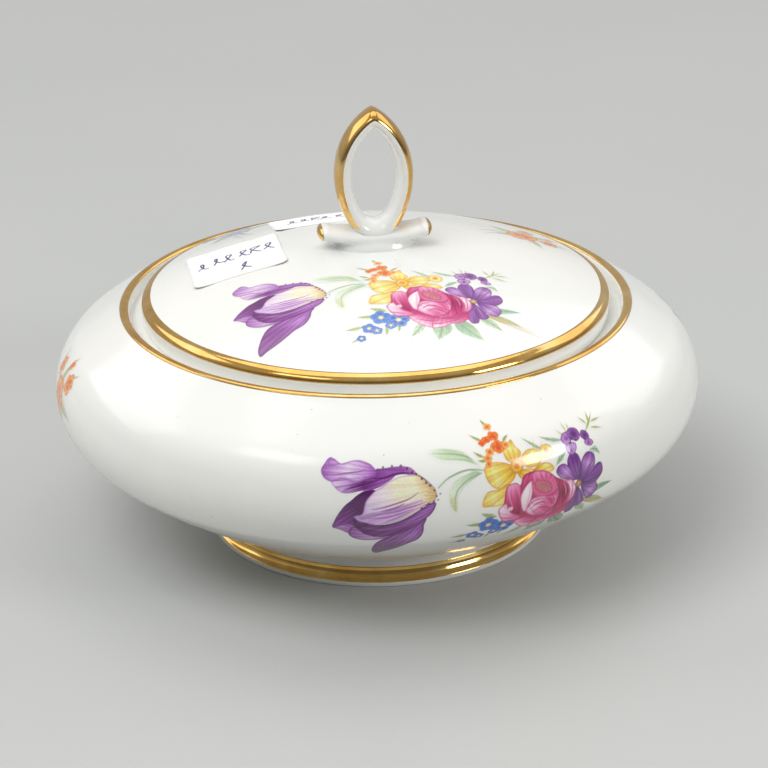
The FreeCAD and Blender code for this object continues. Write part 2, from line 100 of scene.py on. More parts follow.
def angle_of(centre, p):
    return math.degrees(math.atan2(p[1] - centre[1], p[0] - centre[0]))


BELLY_C = (BELLY_R - BELLY_ARC, BELLY_Z)
UNDER_C = polar(BELLY_C, BELLY_ARC - UNDERSIDE_ARC, LOW_ANGLE)
SHOULDER_C = polar(BELLY_C, BELLY_ARC - SHOULDER_ARC, TOP_ANGLE)
UNDER_END = -math.degrees(math.acos((FOOT_TOP_R - UNDER_C[0]) / UNDERSIDE_ARC))
SHOULDER_END = math.degrees(math.acos((MOUTH_R - SHOULDER_C[0]) / SHOULDER_ARC))
EDGE_C = (LID_R - SHOULDER, SHOULDER_Z)
RISE = CROWN_Z - SHOULDER_Z
DOME_R = (EDGE_C[0] ** 2 + RISE ** 2 - SHOULDER ** 2) / (2 * (RISE - SHOULDER))
DOME_C = (0.0, CROWN_Z - DOME_R)
DOME_END = angle_of(DOME_C, EDGE_C)


def dome_z(radius, lift=0.0):
    return DOME_C[1] + math.sqrt((DOME_R + lift) ** 2 - radius ** 2)


def belly_point(s, lift=0.0):
    """Radius and height at distance s along the bowl outline, up from the widest place."""
    low_len = math.radians(-LOW_ANGLE) * BELLY_ARC
    top_len = math.radians(TOP_ANGLE) * BELLY_ARC
    if s < -low_len:
        extra = math.degrees((s + low_len) / UNDERSIDE_ARC)
        return polar(UNDER_C, UNDERSIDE_ARC + lift, LOW_ANGLE + extra)
    if s > top_len:
        extra = math.degrees((s - top_len) / SHOULDER_ARC)
        return polar(SHOULDER_C, SHOULDER_ARC + lift, TOP_ANGLE + extra)
    return polar(BELLY_C, BELLY_ARC + lift, math.degrees(s / BELLY_ARC))


# ------------------------------------------------------------------ materials
def srgb(r, g, b):
    """Linear colour from the usual 0 to 255 values."""
    def one(v):
        v /= 255.0
        return v / 12.92 if v <= 0.04045 else ((v + 0.055) / 1.055) ** 2.4
    return (one(r), one(g), one(b))


GLAZE = (240, 240, 235)


class Nodes:
    """Short hand for building a node tree."""

    def __init__(self, name):
        self.mat = bpy.data.materials.new(name)
        self.mat.use_nodes = True
        self.tree = self.mat.node_tree
        self.shader = self.tree.nodes["Principled BSDF"]
        self.coords = self.add("ShaderNodeTexCoord").outputs["Object"]

    def add(self, kind, **values):
        node = self.tree.nodes.new(kind)
        for key, value in values.items():
            setattr(node, key, value)
        return node

    def link(self, a, b):
        self.tree.links.new(a, b)

    def noise(self, scale, detail=2.0, rough=0.5, stretch=None):
        node = self.add("ShaderNodeTexNoise")
        node.inputs["Scale"].default_value = scale
        node.inputs["Detail"].default_value = detail
        node.inputs["Roughness"].default_value = rough
        source = self.coords
        if stretch:
            mapping = self.add("ShaderNodeMapping")
            mapping.inputs["Scale"].default_value = stretch
            self.link(source, mapping.inputs["Vector"])
            source = mapping.outputs["Vector"]
        self.link(source, node.inputs["Vector"])
        return node.outputs["Fac"]

    def ramp(self, fac, *stops):
        node = self.add("ShaderNodeValToRGB")
        ramp = node.color_ramp
        while len(ramp.elements) < len(stops):
            ramp.elements.new(0.5)
        for element, (place, colour) in zip(ramp.elements, stops):
            element.position = place
            element.color = (*colour, 1.0)
        self.link(fac, node.inputs["Fac"])
        return node.outputs["Color"]

    def mix(self, fac, a, b, kind="MIX"):
        node = self.add("ShaderNodeMix", data_type="RGBA", blend_type=kind)
        for value, socket in ((fac, node.inputs[0]), (a, node.inputs[6]), (b, node.inputs[7])):
            if isinstance(value, bpy.types.NodeSocket):
                self.link(value, socket)
            elif isinstance(value, tuple):
                socket.default_value = (*value, 1.0)
            else:
                socket.default_value = value
        return node.outputs[2]

    def span(self, fac, low, high, low_out, high_out):
        node = self.add("ShaderNodeMapRange")
        self.link(fac, node.inputs["Value"])
        for key, value in (("From Min", low), ("From Max", high),
                           ("To Min", low_out), ("To Max", high_out)):
            node.inputs[key].default_value = value
        return node.outputs["Result"]

    def bump(self, height, strength, distance):
        node = self.add("ShaderNodeBump")
        node.inputs["Strength"].default_value = strength
        node.inputs["Distance"].default_value = distance
        self.link(height, node.inputs["Height"])
        self.link(node.outputs["Normal"], self.shader.inputs["Normal"])

    def set(self, **values):
        for key, value in values.items():
            socket = self.shader.inputs[key.replace("_", " ")]
            if isinstance(value, bpy.types.NodeSocket):
                self.link(value, socket)
            elif isinstance(value, tuple):
                socket.default_value = (*value, 1.0)
            else:
                socket.default_value = value


def glaze_colour(n):
    """White glaze with a faint warm and cool drift and a few fired-in specks."""
    drift = n.ramp(n.noise(22.0, 3.0), (0.3, srgb(236, 238, 235)), (0.7, srgb(244, 242, 236)))
    specks = n.ramp(n.noise(1500.0, 1.0), (0.79, (0.0, 0.0, 0.0)), (0.83, (1.0, 1.0, 1.0)))
    return n.mix(specks, drift, srgb(176, 168, 156))


def glaze_gloss(n):
    n.set(Roughness=n.span(n.noise(60.0, 3.0), 0.3, 0.7, 0.14, 0.2),
          IOR=1.5, Coat_Weight=0.4, Coat_Roughness=0.1)
    n.bump(n.noise(95.0, 2.0), 0.05, 0.0006)


def porcelain():
    n = Nodes("porcelain_glaze")
    n.set(Base_Color=glaze_colour(n))
    glaze_gloss(n)
    return n.mat


def biscuit():
    """Glaze wiped thin, for the underside of the foot and the ring."""
    n = Nodes("thin_glaze")
    n.set(Base_Color=n.mix(0.35, glaze_colour(n), srgb(228, 222, 210)),
          Roughness=n.span(n.noise(400.0, 3.0), 0.3, 0.7, 0.25, 0.45))
    n.bump(n.noise(900.0, 2.0), 0.12, 0.0003)
    return n.mat


def gold():
    n = Nodes("burnished_gold")
    tone = n.ramp(n.noise(70.0, 4.0, 0.6), (0.3, srgb(208, 158, 80)), (0.5, srgb(228, 184, 106)),
                  (0.72, srgb(242, 208, 144)))
    rubbed = n.ramp(n.noise(700.0, 3.0, 0.6, (1.0, 1.0, 5.0)),
                    (0.7, (0.0, 0.0, 0.0)), (0.8, (1.0, 1.0, 1.0)))
    n.set(Base_Color=n.mix(rubbed, tone, srgb(206, 172, 112)), Metallic=1.0,
          Roughness=n.span(n.noise(240.0, 4.0, 0.6, (1.0, 1.0, 3.0)), 0.3, 0.7, 0.06, 0.16))
    n.bump(n.noise(160.0, 3.0), 0.08, 0.0006)
    return n.mat


def enamel():
    """Fired flower colours from the Paint attribute, faded into the glaze by its alpha."""
    n = Nodes("flower_enamel")
    paint = n.add("ShaderNodeAttribute", attribute_name="Paint")
    grain = n.span(n.noise(2600.0, 2.0), 0.3, 0.7, 0.93, 1.05)
    grainy = n.add("ShaderNodeVectorMath", operation="SCALE")
    n.link(paint.outputs["Color"], grainy.inputs[0])
    n.link(grain, grainy.inputs["Scale"])
    n.set(Base_Color=n.mix(paint.outputs["Alpha"], glaze_colour(n), grainy.outputs["Vector"]))
    glaze_gloss(n)
    return n.mat


def paper():
    n = Nodes("label_paper")
    tone = n.ramp(n.noise(900.0, 5.0, 0.7), (0.3, srgb(238, 238, 236)), (0.7, srgb(250, 250, 248)))
    stain = n.noise(90.0, 2.0)
    n.set(Base_Color=n.mix(n.span(stain, 0.5, 0.8, 0.0, 0.35), tone, srgb(228, 220, 200)),
          Roughness=n.span(n.noise(700.0, 2.0), 0.3, 0.7, 0.7, 0.9))
    n.bump(n.noise(1800.0, 4.0, 0.7), 0.25, 0.0002)
    return n.mat


def ink():
    n = Nodes("pen_ink")
    n.set(Base_Color=n.ramp(n.noise(1600.0, 3.0), (0.3, srgb(48, 54, 100)), (0.7, srgb(84, 92, 142))),
          Roughness=0.5)
    return n.mat


def matt_floor():
    n = Nodes("pale_floor")
    tone = n.ramp(n.noise(3.0, 3.0), (0.35, srgb(184, 186, 185)), (0.65, srgb(190, 191, 189)))
    n.set(Base_Color=tone, Roughness=n.span(n.noise(9.0, 3.0), 0.3, 0.7, 0.36, 0.4))
    return n.mat


PORCELAIN, BISCUIT, GOLD, ENAMEL = porcelain(), biscuit(), gold(), enamel()
PAPER, INK, FLOOR = paper(), ink(), matt_floor()


# --------------------------------------------------------------- mesh pieces
def piece(name, verts, faces, body, cad, slot, material, tidy_normals=True):
    """A shown piece from vertices in millimetres, riding on a CAD body."""
    mesh = bpy.data.meshes.new(name)
    mesh.from_pydata([(x * MM, y * MM, z * MM) for x, y, z in verts], [], faces)
    if tidy_normals:
        bm = bmesh.new()
        bm.from_mesh(mesh)
        bmesh.ops.recalc_face_normals(bm, faces=bm.faces)
        bm.to_mesh(mesh)
        bm.free()
    mesh.shade_smooth()
    mesh.materials.append(material)
    obj = bpy.data.objects.new(name, mesh)
    bpy.context.scene.collection.objects.link(obj)
    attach(obj, body)
    if cad:
        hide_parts(*cad)
    return obj


def softened(outline, radius=0.25, steps=4, longest=2.0):
    """Closed outline with its sharp corners rounded and its long sides divided."""
    result = []
    count = len(outline)
    for i, p in enumerate(outline):
        a, b = np.array(outline[i - 1]), np.array(outline[(i + 1) % count])
        p = np.array(p)
        if p[0] < 1e-6 and (a[0] < 1e-6 or b[0] < 1e-6):
            result.append(tuple(p))
            continue
        u, v = a - p, b - p
        lu, lv = np.linalg.norm(u), np.linalg.norm(v)
        turn = math.pi - math.acos(max(-1.0, min(1.0, float(u @ v / (lu * lv)))))
        if turn < math.radians(14):
            result.append(tuple(p))
            continue
        reach = min(radius, 0.45 * lu, 0.45 * lv)
        start, end = p + u / lu * reach, p + v / lv * reach
        for k in range(steps + 1):
            t = k / steps
            result.append(tuple((1 - t) ** 2 * start + 2 * t * (1 - t) * p + t * t * end))
    dense = []
    for i, p in enumerate(result):
        q = result[(i + 1) % len(result)]
        dense.append(p)
        if p[0] < 1e-6 and q[0] < 1e-6:
            continue
        parts = int(math.hypot(q[0] - p[0], q[1] - p[1]) / longest)
        for k in range(1, parts + 1):
            t = k / (parts + 1)
            dense.append((p[0] + (q[0] - p[0]) * t, p[1] + (q[1] - p[1]) * t))
    return dense


def turned(name, outline, body, cad, slot, material, steps=TURNS):
    """Closed outline of radius and height, turned a full circle."""
    verts, rows = [], []
    for r, z in outline:
        if r < 1e-6:
            rows.append([len(verts)])
            verts.append((0.0, 0.0, z))
            continue
        rows.append(list(range(len(verts), len(verts) + steps)))
        for k in range(steps):
            a = 2 * math.pi * k / steps
            verts.append((r * math.cos(a), r * math.sin(a), z))
    faces = []
    for i, row in enumerate(rows):
        after = rows[(i + 1) % len(rows)]
        if len(row) == 1 and len(after) == 1:
            continue
        for k in range(steps):
            m = (k + 1) % steps
            quad = [row[k % len(row)], row[m % len(row)],
                    after[m % len(after)], after[k % len(after)]]
            faces.append([v for j, v in enumerate(quad) if v not in quad[:j]])
    return piece(name, verts, faces, body, cad, slot, material)


def strip_outline(path, lift):
    """Thin closed outline that starts and ends on the glaze and stands off it between."""
    out, back = [], []
    count = len(path) - 1
    for i, (p, normal) in enumerate(path):
        share = min(i, count - i) / count
        rise = lift * min(1.0, share * 9.0) ** 0.5
        out.append((p[0] + normal[0] * rise, p[1] + normal[1] * rise))
        back.append((p[0] - normal[0] * 0.01, p[1] - normal[1] * 0.01))
    return out + back[::-1]


def arc_path(centre, radius, a0, a1, steps, side=1.0):
    """Points of an arc with the direction that points off the glaze."""
    path = []
    for i in range(steps + 1):
        a = a0 + (a1 - a0) * i / steps
        path.append((polar(centre, radius, a),
                     (side * math.cos(math.radians(a)), side * math.sin(math.radians(a)))))
    return path


# ---------------------------------------------------------- bowl, foot, lid
BOWL, LID, LOCATING = "bowl_body", "lid_body", "locating_ring_body"
floor_z = JOIN_Z + WALL
inner_end = -math.degrees(math.asin((UNDER_C[1] - floor_z) / (UNDERSIDE_ARC - WALL)))
ledge_root = polar(BELLY_C, BELLY_ARC - WALL, 80.0)
nose_r = LEDGE_IN_R + 0.8
nose_z = ledge_root[1] + (ledge_root[0] - nose_r) * math.tan(math.radians(10.0))
MOUTH = polar(SHOULDER_C, SHOULDER_ARC, SHOULDER_END)


def circle_through(a, m, b):
    """Centre and radius of the circle through three outline points."""
    (ax, ay), (bx, by), (cx, cy) = a, m, b
    d = 2 * (ax * (by - cy) + bx * (cy - ay) + cx * (ay - by))
    sa, sb, sc = ax * ax + ay * ay, bx * bx + by * by, cx * cx + cy * cy
    ux = (sa * (by - cy) + sb * (cy - ay) + sc * (ay - by)) / d
    uy = (sa * (cx - bx) + sb * (ax - cx) + sc * (bx - ax)) / d
    return (ux, uy), math.hypot(ax - ux, ay - uy)


LIP_IN = (RECESS_R, LIP_Z - 0.7)
LIP_C, LIP_R = circle_through(MOUTH, (MOUTH_R - 1.0, LIP_Z), LIP_IN)
lip_out, lip_in = angle_of(LIP_C, MOUTH), angle_of(LIP_C, LIP_IN)

bowl_outline = (
    [(0.0, JOIN_Z)]
    + arc(UNDER_C, UNDERSIDE_ARC, UNDER_END, LOW_ANGLE, 34)
    + arc(BELLY_C, BELLY_ARC, LOW_ANGLE, TOP_ANGLE, 44)[1:]
    + arc(SHOULDER_C, SHOULDER_ARC, TOP_ANGLE, SHOULDER_END, 6)[1:]
    + arc(LIP_C, LIP_R, lip_out, lip_in, 10)[1:]
    + [(RECESS_R - 0.2, LEDGE_Z), (LEDGE_IN_R, LEDGE_Z), (LEDGE_IN_R, nose_z + 0.1), (nose_r, nose_z)]
    + arc(BELLY_C, BELLY_ARC - WALL, 80.0, LOW_ANGLE, 30)
    + arc(UNDER_C, UNDERSIDE_ARC - WALL, LOW_ANGLE, inner_end, 24)[1:]
    + [(0.0, floor_z)])
turned("bowl_porcelain", softened(bowl_outline, 0.6), BOWL, ["bowl"], "porcelain", PORCELAIN)
turned("mouth_gold_line",
       strip_outline(arc_path(LIP_C, LIP_R, lip_out - 2, lip_in - 12, 12), GOLD_LIFT),
       BOWL, ["bowl_mouth_gilding"], "gilding", GOLD)

FOOT_NECK = (35.85, 3.9)
FOOT_LOW = (FOOT_EDGE_R, 1.0)
FOOT_IN_R = 32.6
widen, drop = FOOT_LOW[0] - FOOT_NECK[0], FOOT_NECK[1] - FOOT_LOW[1]
flare_r = (widen ** 2 + drop ** 2) / (2 * widen)
flare_c = (FOOT_NECK[0] + flare_r, FOOT_NECK[1])
flare_end = angle_of(flare_c, FOOT_LOW) % 360
foot_outline = (
    [(FOOT_IN_R, JOIN_Z), (FOOT_TOP_R, JOIN_Z)]
    + arc(flare_c, flare_r, 180, flare_end, 14)
    + [(FOOT_EDGE_R, 0.0), (FOOT_IN_R + 1.3, 0.0)])
turned("foot_porcelain", softened(foot_outline, 0.4), BOWL, ["foot_ring"], "porcelain", BISCUIT)
turned("foot_gold_band",
       strip_outline(arc_path(flare_c, flare_r, 180, flare_end - 1, 16, -1.0), GOLD_LIFT),
       BOWL, ["foot_gilding"], "gilding", GOLD)

land_angle = math.degrees(math.acos(LAND_R / (DOME_R - LID_THICK)))
lid_outline = (
    arc(DOME_C, DOME_R, 90, DOME_END, 40)
    + arc(EDGE_C, SHOULDER, DOME_END, 0, 10)[1:]
    + [(LID_R - 0.3, LEDGE_Z), (SKIRT_R, LEDGE_Z), (SKIRT_R, LAND_Z), (LAND_R, LAND_Z)]
    + arc(DOME_C, DOME_R - LID_THICK, land_angle, 90, 30))
lid_outline[0] = (0.0, CROWN_Z)
lid_outline[-1] = (0.0, CROWN_Z - LID_THICK)
turned("lid_porcelain", softened(lid_outline, 0.45), LID, ["lid"], "porcelain", PORCELAIN)
band_path = arc_path(EDGE_C, SHOULDER, 10, DOME_END, 12)
band_path += arc_path(DOME_C, DOME_R, DOME_END, math.degrees(math.acos(BAND_R / DOME_R)), 3)[1:]
turned("lid_gold_band", strip_outline(band_path, GOLD_LIFT), LID, ["lid_edge_gilding"],
       "gilding", GOLD)

RING_IN_R = RING_R - 2.6
ring_outline = [(RING_IN_R, RING_TOP), (RING_R, RING_TOP), (RING_R, RING_LOW + 0.5),
                (RING_R - 0.8, RING_LOW), (RING_IN_R + 0.3, RING_LOW + 0.3)]
turned("locating_ring_porcelain", softened(ring_outline, 0.5), LOCATING, ["lid_locating_ring"],
       "porcelain", BISCUIT, 192)


# -------------------------------------------------------------------- finial
LOOP_HALF_W = 6.65
LOOP_MID_Z = 79.3
TOP_ARC, LOW_ARC = 15.5, 19.75
HALF_T, HALF_D = 1.75, 4.0
ROUND_TOP, ROUND_LOW = 0.35, 1.9     # rounding where the two limbs meet
GILD_FOOT_Z = 68.2


def fibre(phi, grow, bottom=None, low_steps=26, up_steps=30):
    """One lengthwise line of the right-hand limb, from the crossing up to the point."""
    t, y = (HALF_T + grow) * math.cos(phi), (HALF_D + grow) * math.sin(phi)
    low_r, up_r = LOW_ARC + t, TOP_ARC + t
    low_c, up_c = LOOP_HALF_W - LOW_ARC, LOOP_HALF_W - TOP_ARC
    low_a = math.acos((ROUND_LOW - low_c) / low_r)
    up_a = math.acos((ROUND_TOP - up_c) / up_r)
    start = low_a if bottom is None else math.asin((LOOP_MID_Z - bottom) / low_r)
    points = []
    for k in range(low_steps):
        a = start * (1 - k / low_steps)
        x = low_c + low_r * math.cos(a)
        pull = ROUND_LOW * (a / low_a) ** 3
        points.append((math.sqrt(max(x * x - pull * pull, 0.0)), y, LOOP_MID_Z - low_r * math.sin(a)))
    for k in range(up_steps + 1):
        a = up_a * k / up_steps
        x = up_c + up_r * math.cos(a)
        pull = ROUND_TOP * (a / up_a) ** 3
        points.append((math.sqrt(max(x * x - pull * pull, 0.0)), y, LOOP_MID_Z + up_r * math.sin(a)))
    points[-1] = (0.0, y, points[-1][2])
    if bottom is None:
        points[0] = (0.0, y, points[0][2])
    return points


def grid_faces(rows, columns, wrap_rows, wrap_columns):
    faces = []
    for i in range(rows if wrap_rows else rows - 1):
        for j in range(columns if wrap_columns else columns - 1):
            a, b = (i + 1) % rows, (j + 1) % columns
            faces.append((i * columns + j, a * columns + j, a * columns + b, i * columns + b))
    return faces


def both_limbs(points):
    """A right-hand line carried on over the point and down the left limb."""
    return points + [(-x, y, z) for x, y, z in points[-2::-1]]


AROUND = 40
verts, columns = [], 0
for i in range(AROUND):
    whole = both_limbs(fibre(2 * math.pi * i / AROUND, 0.0))[:-1]
    columns = len(whole)
    verts += whole
piece("loop_porcelain", verts, grid_faces(AROUND, columns, True, True), LID, ["finial_loop"],
      "porcelain", PORCELAIN)

GILD_PHI = math.acos(0.25 / HALF_T)
ACROSS = 20
verts = []
for i in range(ACROSS + 1):
    phi = GILD_PHI * (2 * i / ACROSS - 1)
    rise = 0.07 * (1 - abs(2 * i / ACROSS - 1) ** 6)
    verts += both_limbs(fibre(phi, rise, GILD_FOOT_Z))
columns = len(verts) // (ACROSS + 1)
piece("loop_gold", verts, grid_faces(ACROSS + 1, columns, False, False), LID,
      ["finial_loop_gilding"], "gilding", GOLD)

ARM_ARC, ARM_MID_Z, ARM_TIP_X = 50.0, 65.6, 10.6
ARM_T, ARM_D, TIP_R = 1.5, 3.9, 1.75
ARM_TOP = ARM_MID_Z + ARM_ARC
TIP_Z = ARM_TOP - math.sqrt(ARM_ARC ** 2 - ARM_TIP_X ** 2)


def ball(centre, size, around=48, up=24):
    """Vertices and faces of an oval ball."""
    vs = [(centre[0], centre[1], centre[2] - size[2])]
    for j in range(1, up):
        b = -math.pi / 2 + math.pi * j / up
        for i in range(around):
            a = 2 * math.pi * i / around
            vs.append((centre[0] + size[0] * math.cos(b) * math.cos(a),
                       centre[1] + size[1] * math.cos(b) * math.sin(a),
                       centre[2] + size[2] * math.sin(b)))
    vs.append((centre[0], centre[1], centre[2] + size[2]))
    fs = []
    for i in range(around):
        m = (i + 1) % around
        fs.append((0, 1 + m, 1 + i))
        for j in range(up - 2):
            r0, r1 = 1 + j * around, 1 + (j + 1) * around
            fs.append((r0 + i, r0 + m, r1 + m, r1 + i))
        last = 1 + (up - 2) * around
        fs.append((last + i, last + m, len(vs) - 1))
    return vs, fs


def arms():
    """Both ribbon arms: an oval bar on a wide arc, deeper towards the middle."""
    vs, steps, around = [], 40, 36
    spread = math.asin(ARM_TIP_X / ARM_ARC)
    for k in range(steps + 1):
        s = 2 * k / steps - 1
        a = spread * s
        thick = ARM_T * (1.0 + 0.25 * (1 - s * s))
        deep = ARM_D * (1.0 + 0.22 * (1 - s * s))
        for i in range(around):
            phi = 2 * math.pi * i / around
            radius = ARM_ARC + thick * math.cos(phi)
            vs.append((radius * math.sin(a), deep * math.sin(phi), ARM_TOP - radius * math.cos(a)))
    fs = []
    for k in range(steps):
        for i in range(around):
            m = (i + 1) % around
            fs.append((k * around + i, k * around + m, (k + 1) * around + m, (k + 1) * around + i))
    fs.append(tuple(range(around)))
    fs.append(tuple(range(steps * around, (steps + 1) * around))[::-1])
    return vs, fs


def melted(name, parts, voxel, passes):
    """Parts run together into one skin, with the joins softened like thick glaze."""
    vs, fs = [], []
    for part_vs, part_fs in parts:
        fs += [tuple(v + len(vs) for v in f) for f in part_fs]
        vs += part_vs
    mesh = bpy.data.meshes.new(name)
    mesh.from_pydata(vs, [], fs)
    source = bpy.data.objects.new(name, mesh)
    bpy.context.scene.collection.objects.link(source)
    remesh = source.modifiers.new("run_together", "REMESH")
    remesh.mode = "VOXEL"
    remesh.voxel_size = voxel
    smooth = source.modifiers.new("soften", "SMOOTH")
    smooth.factor = 0.5
    smooth.iterations = passes
    shown = source.evaluated_get(bpy.context.evaluated_depsgraph_get())
    result = shown.to_mesh()
    out_vs = [tuple(v.co) for v in result.vertices]
    out_fs = [tuple(p.vertices) for p in result.polygons]
    shown.to_mesh_clear()
    bpy.data.objects.remove(source)
    bpy.data.meshes.remove(mesh)
    return out_vs, out_fs


parts = [arms(), ball((0.0, 0.0, 62.6), (8.9, 5.8, 4.5))]
for side in (-1, 1):
    parts.append(ball((side * ARM_TIP_X, 0.0, TIP_Z), (TIP_R, ARM_D + 0.15, TIP_R)))
verts, faces = melted("ribbon", parts, 0.28, 22)
SINK = 0.8                  # how far the ribbon base is let into the lid
verts = [(x, y, max(z, dome_z(math.hypot(x, y)) - SINK)) for x, y, z in verts]
piece("ribbon_porcelain", verts, faces, LID, ["finial_ribbon_base"], "porcelain", PORCELAIN)

verts, faces = [], []
for side in (-1, 1):
    vs, fs = ball((side * ARM_TIP_X, 0.0, TIP_Z), (TIP_R + 0.06, ARM_D + 0.2, TIP_R + 0.06), 64, 40)
    keep = [i for i, v in enumerate(vs) if side * v[0] > ARM_TIP_X + 0.7]
    index = {v: len(verts) + k for k, v in enumerate(keep)}
    verts += [vs[i] for i in keep]
    faces += [tuple(index[v] for v in f) for f in fs if all(v in index for v in f)]
piece("tip_gold", verts, faces, LID, ["finial_tip_gilding"], "gilding", GOLD)


# ------------------------------------------------- flower painting on a sheet
def catmull(points, closed, per=6):
    """Smooth line through the points."""
    pts = np.array(points, float)
    n = len(pts)
    out = []
    for i in range(n if closed else n - 1):
        if closed:
            p0, p1, p2, p3 = pts[i - 1], pts[i], pts[(i + 1) % n], pts[(i + 2) % n]
        else:
            p0, p1, p2, p3 = pts[max(i - 1, 0)], pts[i], pts[i + 1], pts[min(i + 2, n - 1)]
        for k in range(per):
            t = k / per
            out.append(0.5 * (2 * p1 + (p2 - p0) * t + (2 * p0 - 5 * p1 + 4 * p2 - p3) * t * t
                              + (3 * p1 - p0 - 3 * p2 + p3) * t ** 3))
    if not closed:
        out.append(pts[-1])
    return np.array(out)


GROUPS = ("leaves", "blue_flowers", "yellow_flowers", "orange_sprig", "tulip",
          "violet_flowers", "rose")


class Sheet:
    """A painted sheet: p runs right and q up, in millimetres from the middle of the rose."""

    def __init__(self, left, right, low, high, step, seed):
        self.step = step
        self.xs = np.arange(left, right + step / 2, step)
        self.ys = np.arange(low, high + step / 2, step)
        self.p, self.q = np.meshgrid(self.xs, self.ys)
        self.rgb = np.ones(self.p.shape + (3,)) * np.array(GLAZE, float)
        self.cover = np.zeros(self.p.shape)
        self.owner = np.zeros(self.p.shape, int)
        self.rng = np.random.default_rng(seed)
        self.turn, self.size, self.about = 0.0, 1.0, (0.0, 0.0)
        self.shift = (0.0, 0.0)

    def move(self, about=(0.0, 0.0), turn=0.0, size=1.0, shift=(0.0, 0.0)):
        """Everything painted from now on is turned and scaled about a point, then shifted."""
        self.about, self.turn, self.size, self.shift = about, math.radians(turn), size, shift

    def placed(self, points):
        pts = np.array(points, float).reshape(-1, 2) - self.about
        c, s = math.cos(self.turn), math.sin(self.turn)
        pts = np.stack([c * pts[:, 0] - s * pts[:, 1], s * pts[:, 0] + c * pts[:, 1]], 1)
        return pts * self.size + self.about + self.shift

    def window(self, pts, margin):
        x0, y0 = pts.min(0) - margin
        x1, y1 = pts.max(0) + margin
        i0, i1 = np.searchsorted(self.xs, (x0, x1))
        j0, j1 = np.searchsorted(self.ys, (y0, y1))
        return slice(j0, j1), slice(i0, i1)

    def lay(self, win, colour, alpha, group):
        a = alpha[..., None]
        self.rgb[win] = self.rgb[win] * (1 - a) + colour * a
        self.cover[win] = 1 - (1 - self.cover[win]) * (1 - alpha)
        self.owner[win] = np.where(alpha > 0.35, GROUPS.index(group), self.owner[win])

    def area(self, group, ring, tones, axis=None, rim=None, rim_w=0.3, rim_s=0.8, veins=0.12,
             vein_n=26.0, soft=0.0, strength=1.0, smooth=True):
        """Filled shape. tones run from the root to the tip of the axis; rim darkens the edge."""
        pts = self.placed(ring)
        if smooth:
            pts = catmull(pts, True)
        win = self.window(pts, 0.4)
        p, q = self.p[win], self.q[win]
        if p.size == 0:
            return
        near = np.full(p.shape, 1e9)
        inside = np.zeros(p.shape, bool)
        for (ax, ay), (bx, by) in zip(pts, np.roll(pts, -1, 0)):
            dx, dy = bx - ax, by - ay
            t = np.clip(((p - ax) * dx + (q - ay) * dy) / (dx * dx + dy * dy + 1e-12), 0, 1)
            near = np.minimum(near, (p - ax - t * dx) ** 2 + (q - ay - t * dy) ** 2)
            inside ^= ((ay > q) != (by > q)) & (p < (bx - ax) * (q - ay) / (by - ay + 1e-12) + ax)
        d = np.where(inside, -1, 1) * np.sqrt(near)
        if axis is None:
            mid = pts.mean(0)
            axis_pts = np.array([mid, mid + (0.0, np.ptp(pts[:, 1]) / 2)])
            along = np.hypot(p - mid[0], q - mid[1]) / (np.abs(pts - mid).max() + 1e-9)
        else:
            axis_pts = self.placed(axis)
            v = axis_pts[1] - axis_pts[0]
            along = ((p - axis_pts[0][0]) * v[0] + (q - axis_pts[0][1]) * v[1]) / (v @ v)
        along = np.clip(along, 0, 1)
        stops = np.linspace(0, 1, len(tones))
        colour = np.stack([np.interp(along, stops, [t[c] for t in tones]) for c in range(3)], -1)
        v = axis_pts[1] - axis_pts[0]
        root = axis_pts[0] - 0.35 * v
        fan = np.arctan2((p - root[0]) * v[1] - (q - root[1]) * v[0],
                         (p - root[0]) * v[0] + (q - root[1]) * v[1])
        phases = self.rng.uniform(0, 6.28, 3)
        ripple = (np.sin(fan * vein_n + phases[0]) + 0.7 * np.sin(fan * vein_n * 2.3 + phases[1])
                  + 0.5 * np.sin(fan * vein_n * 4.1 + phases[2])) / 2.2
        colour = colour * (1 + veins * ripple[..., None])
        if rim is not None:
            k = rim_s * np.exp(-(np.minimum(d, 0) / rim_w) ** 2)[..., None]
            colour = colour * (1 - k) + np.array(rim, float) * k
        if soft > 0:
            alpha = np.clip(-d / soft, 0, 1)
            alpha = alpha * alpha * (3 - 2 * alpha)
        else:
            alpha = np.clip(0.5 - d / self.step, 0, 1)
        self.lay(win, np.clip(colour, 0, 255), alpha * strength, group)

    def line(self, group, points, width, colour, strength=0.9, ends=(0.25, 0.25), smooth=True):
        """Brush line, widest in the middle."""
        pts = self.placed(points)
        if smooth and len(pts) > 2:
            pts = catmull(pts, False, 4)
        win = self.window(pts, width + 0.3)
        p, q = self.p[win], self.q[win]
        if p.size == 0:
            return
        n = len(pts) - 1
        best = np.full(p.shape, 1e9)
        for i in range(n):
            (ax, ay), (bx, by) = pts[i], pts[i + 1]
            dx, dy = bx - ax, by - ay
            t = np.clip(((p - ax) * dx + (q - ay) * dy) / (dx * dx + dy * dy + 1e-12), 0, 1)
            share = (i + t) / n
            half = width / 2 * (np.interp(share, (0, 0.4, 0.7, 1), (ends[0], 1, 1, ends[1])))
            best = np.minimum(best, np.hypot(p - ax - t * dx, q - ay - t * dy) - half)
        alpha = np.clip(0.5 - best / self.step, 0, 1) * strength
        self.lay(win, np.array(colour, float), alpha, group)

    def dot(self, group, centre, radius, tones, rim=None, **more):
        ring = [(centre[0] + radius * math.cos(a), centre[1] + radius * math.sin(a))
                for a in np.linspace(0, 2 * math.pi, 10)[:-1]]
        self.area(group, ring, tones, None, rim, **more)

    def leaf(self, group, root, tip, width, tones, rim=None, lean=0.0, soft=0.5, strength=0.85,
             vein=None):
        """Pointed leaf with a middle vein, its edge fading into the glaze."""
        (x0, y0), (x1, y1) = root, tip
        dx, dy = x1 - x0, y1 - y0
        length = math.hypot(dx, dy)
        nx, ny = -dy / length, dx / length

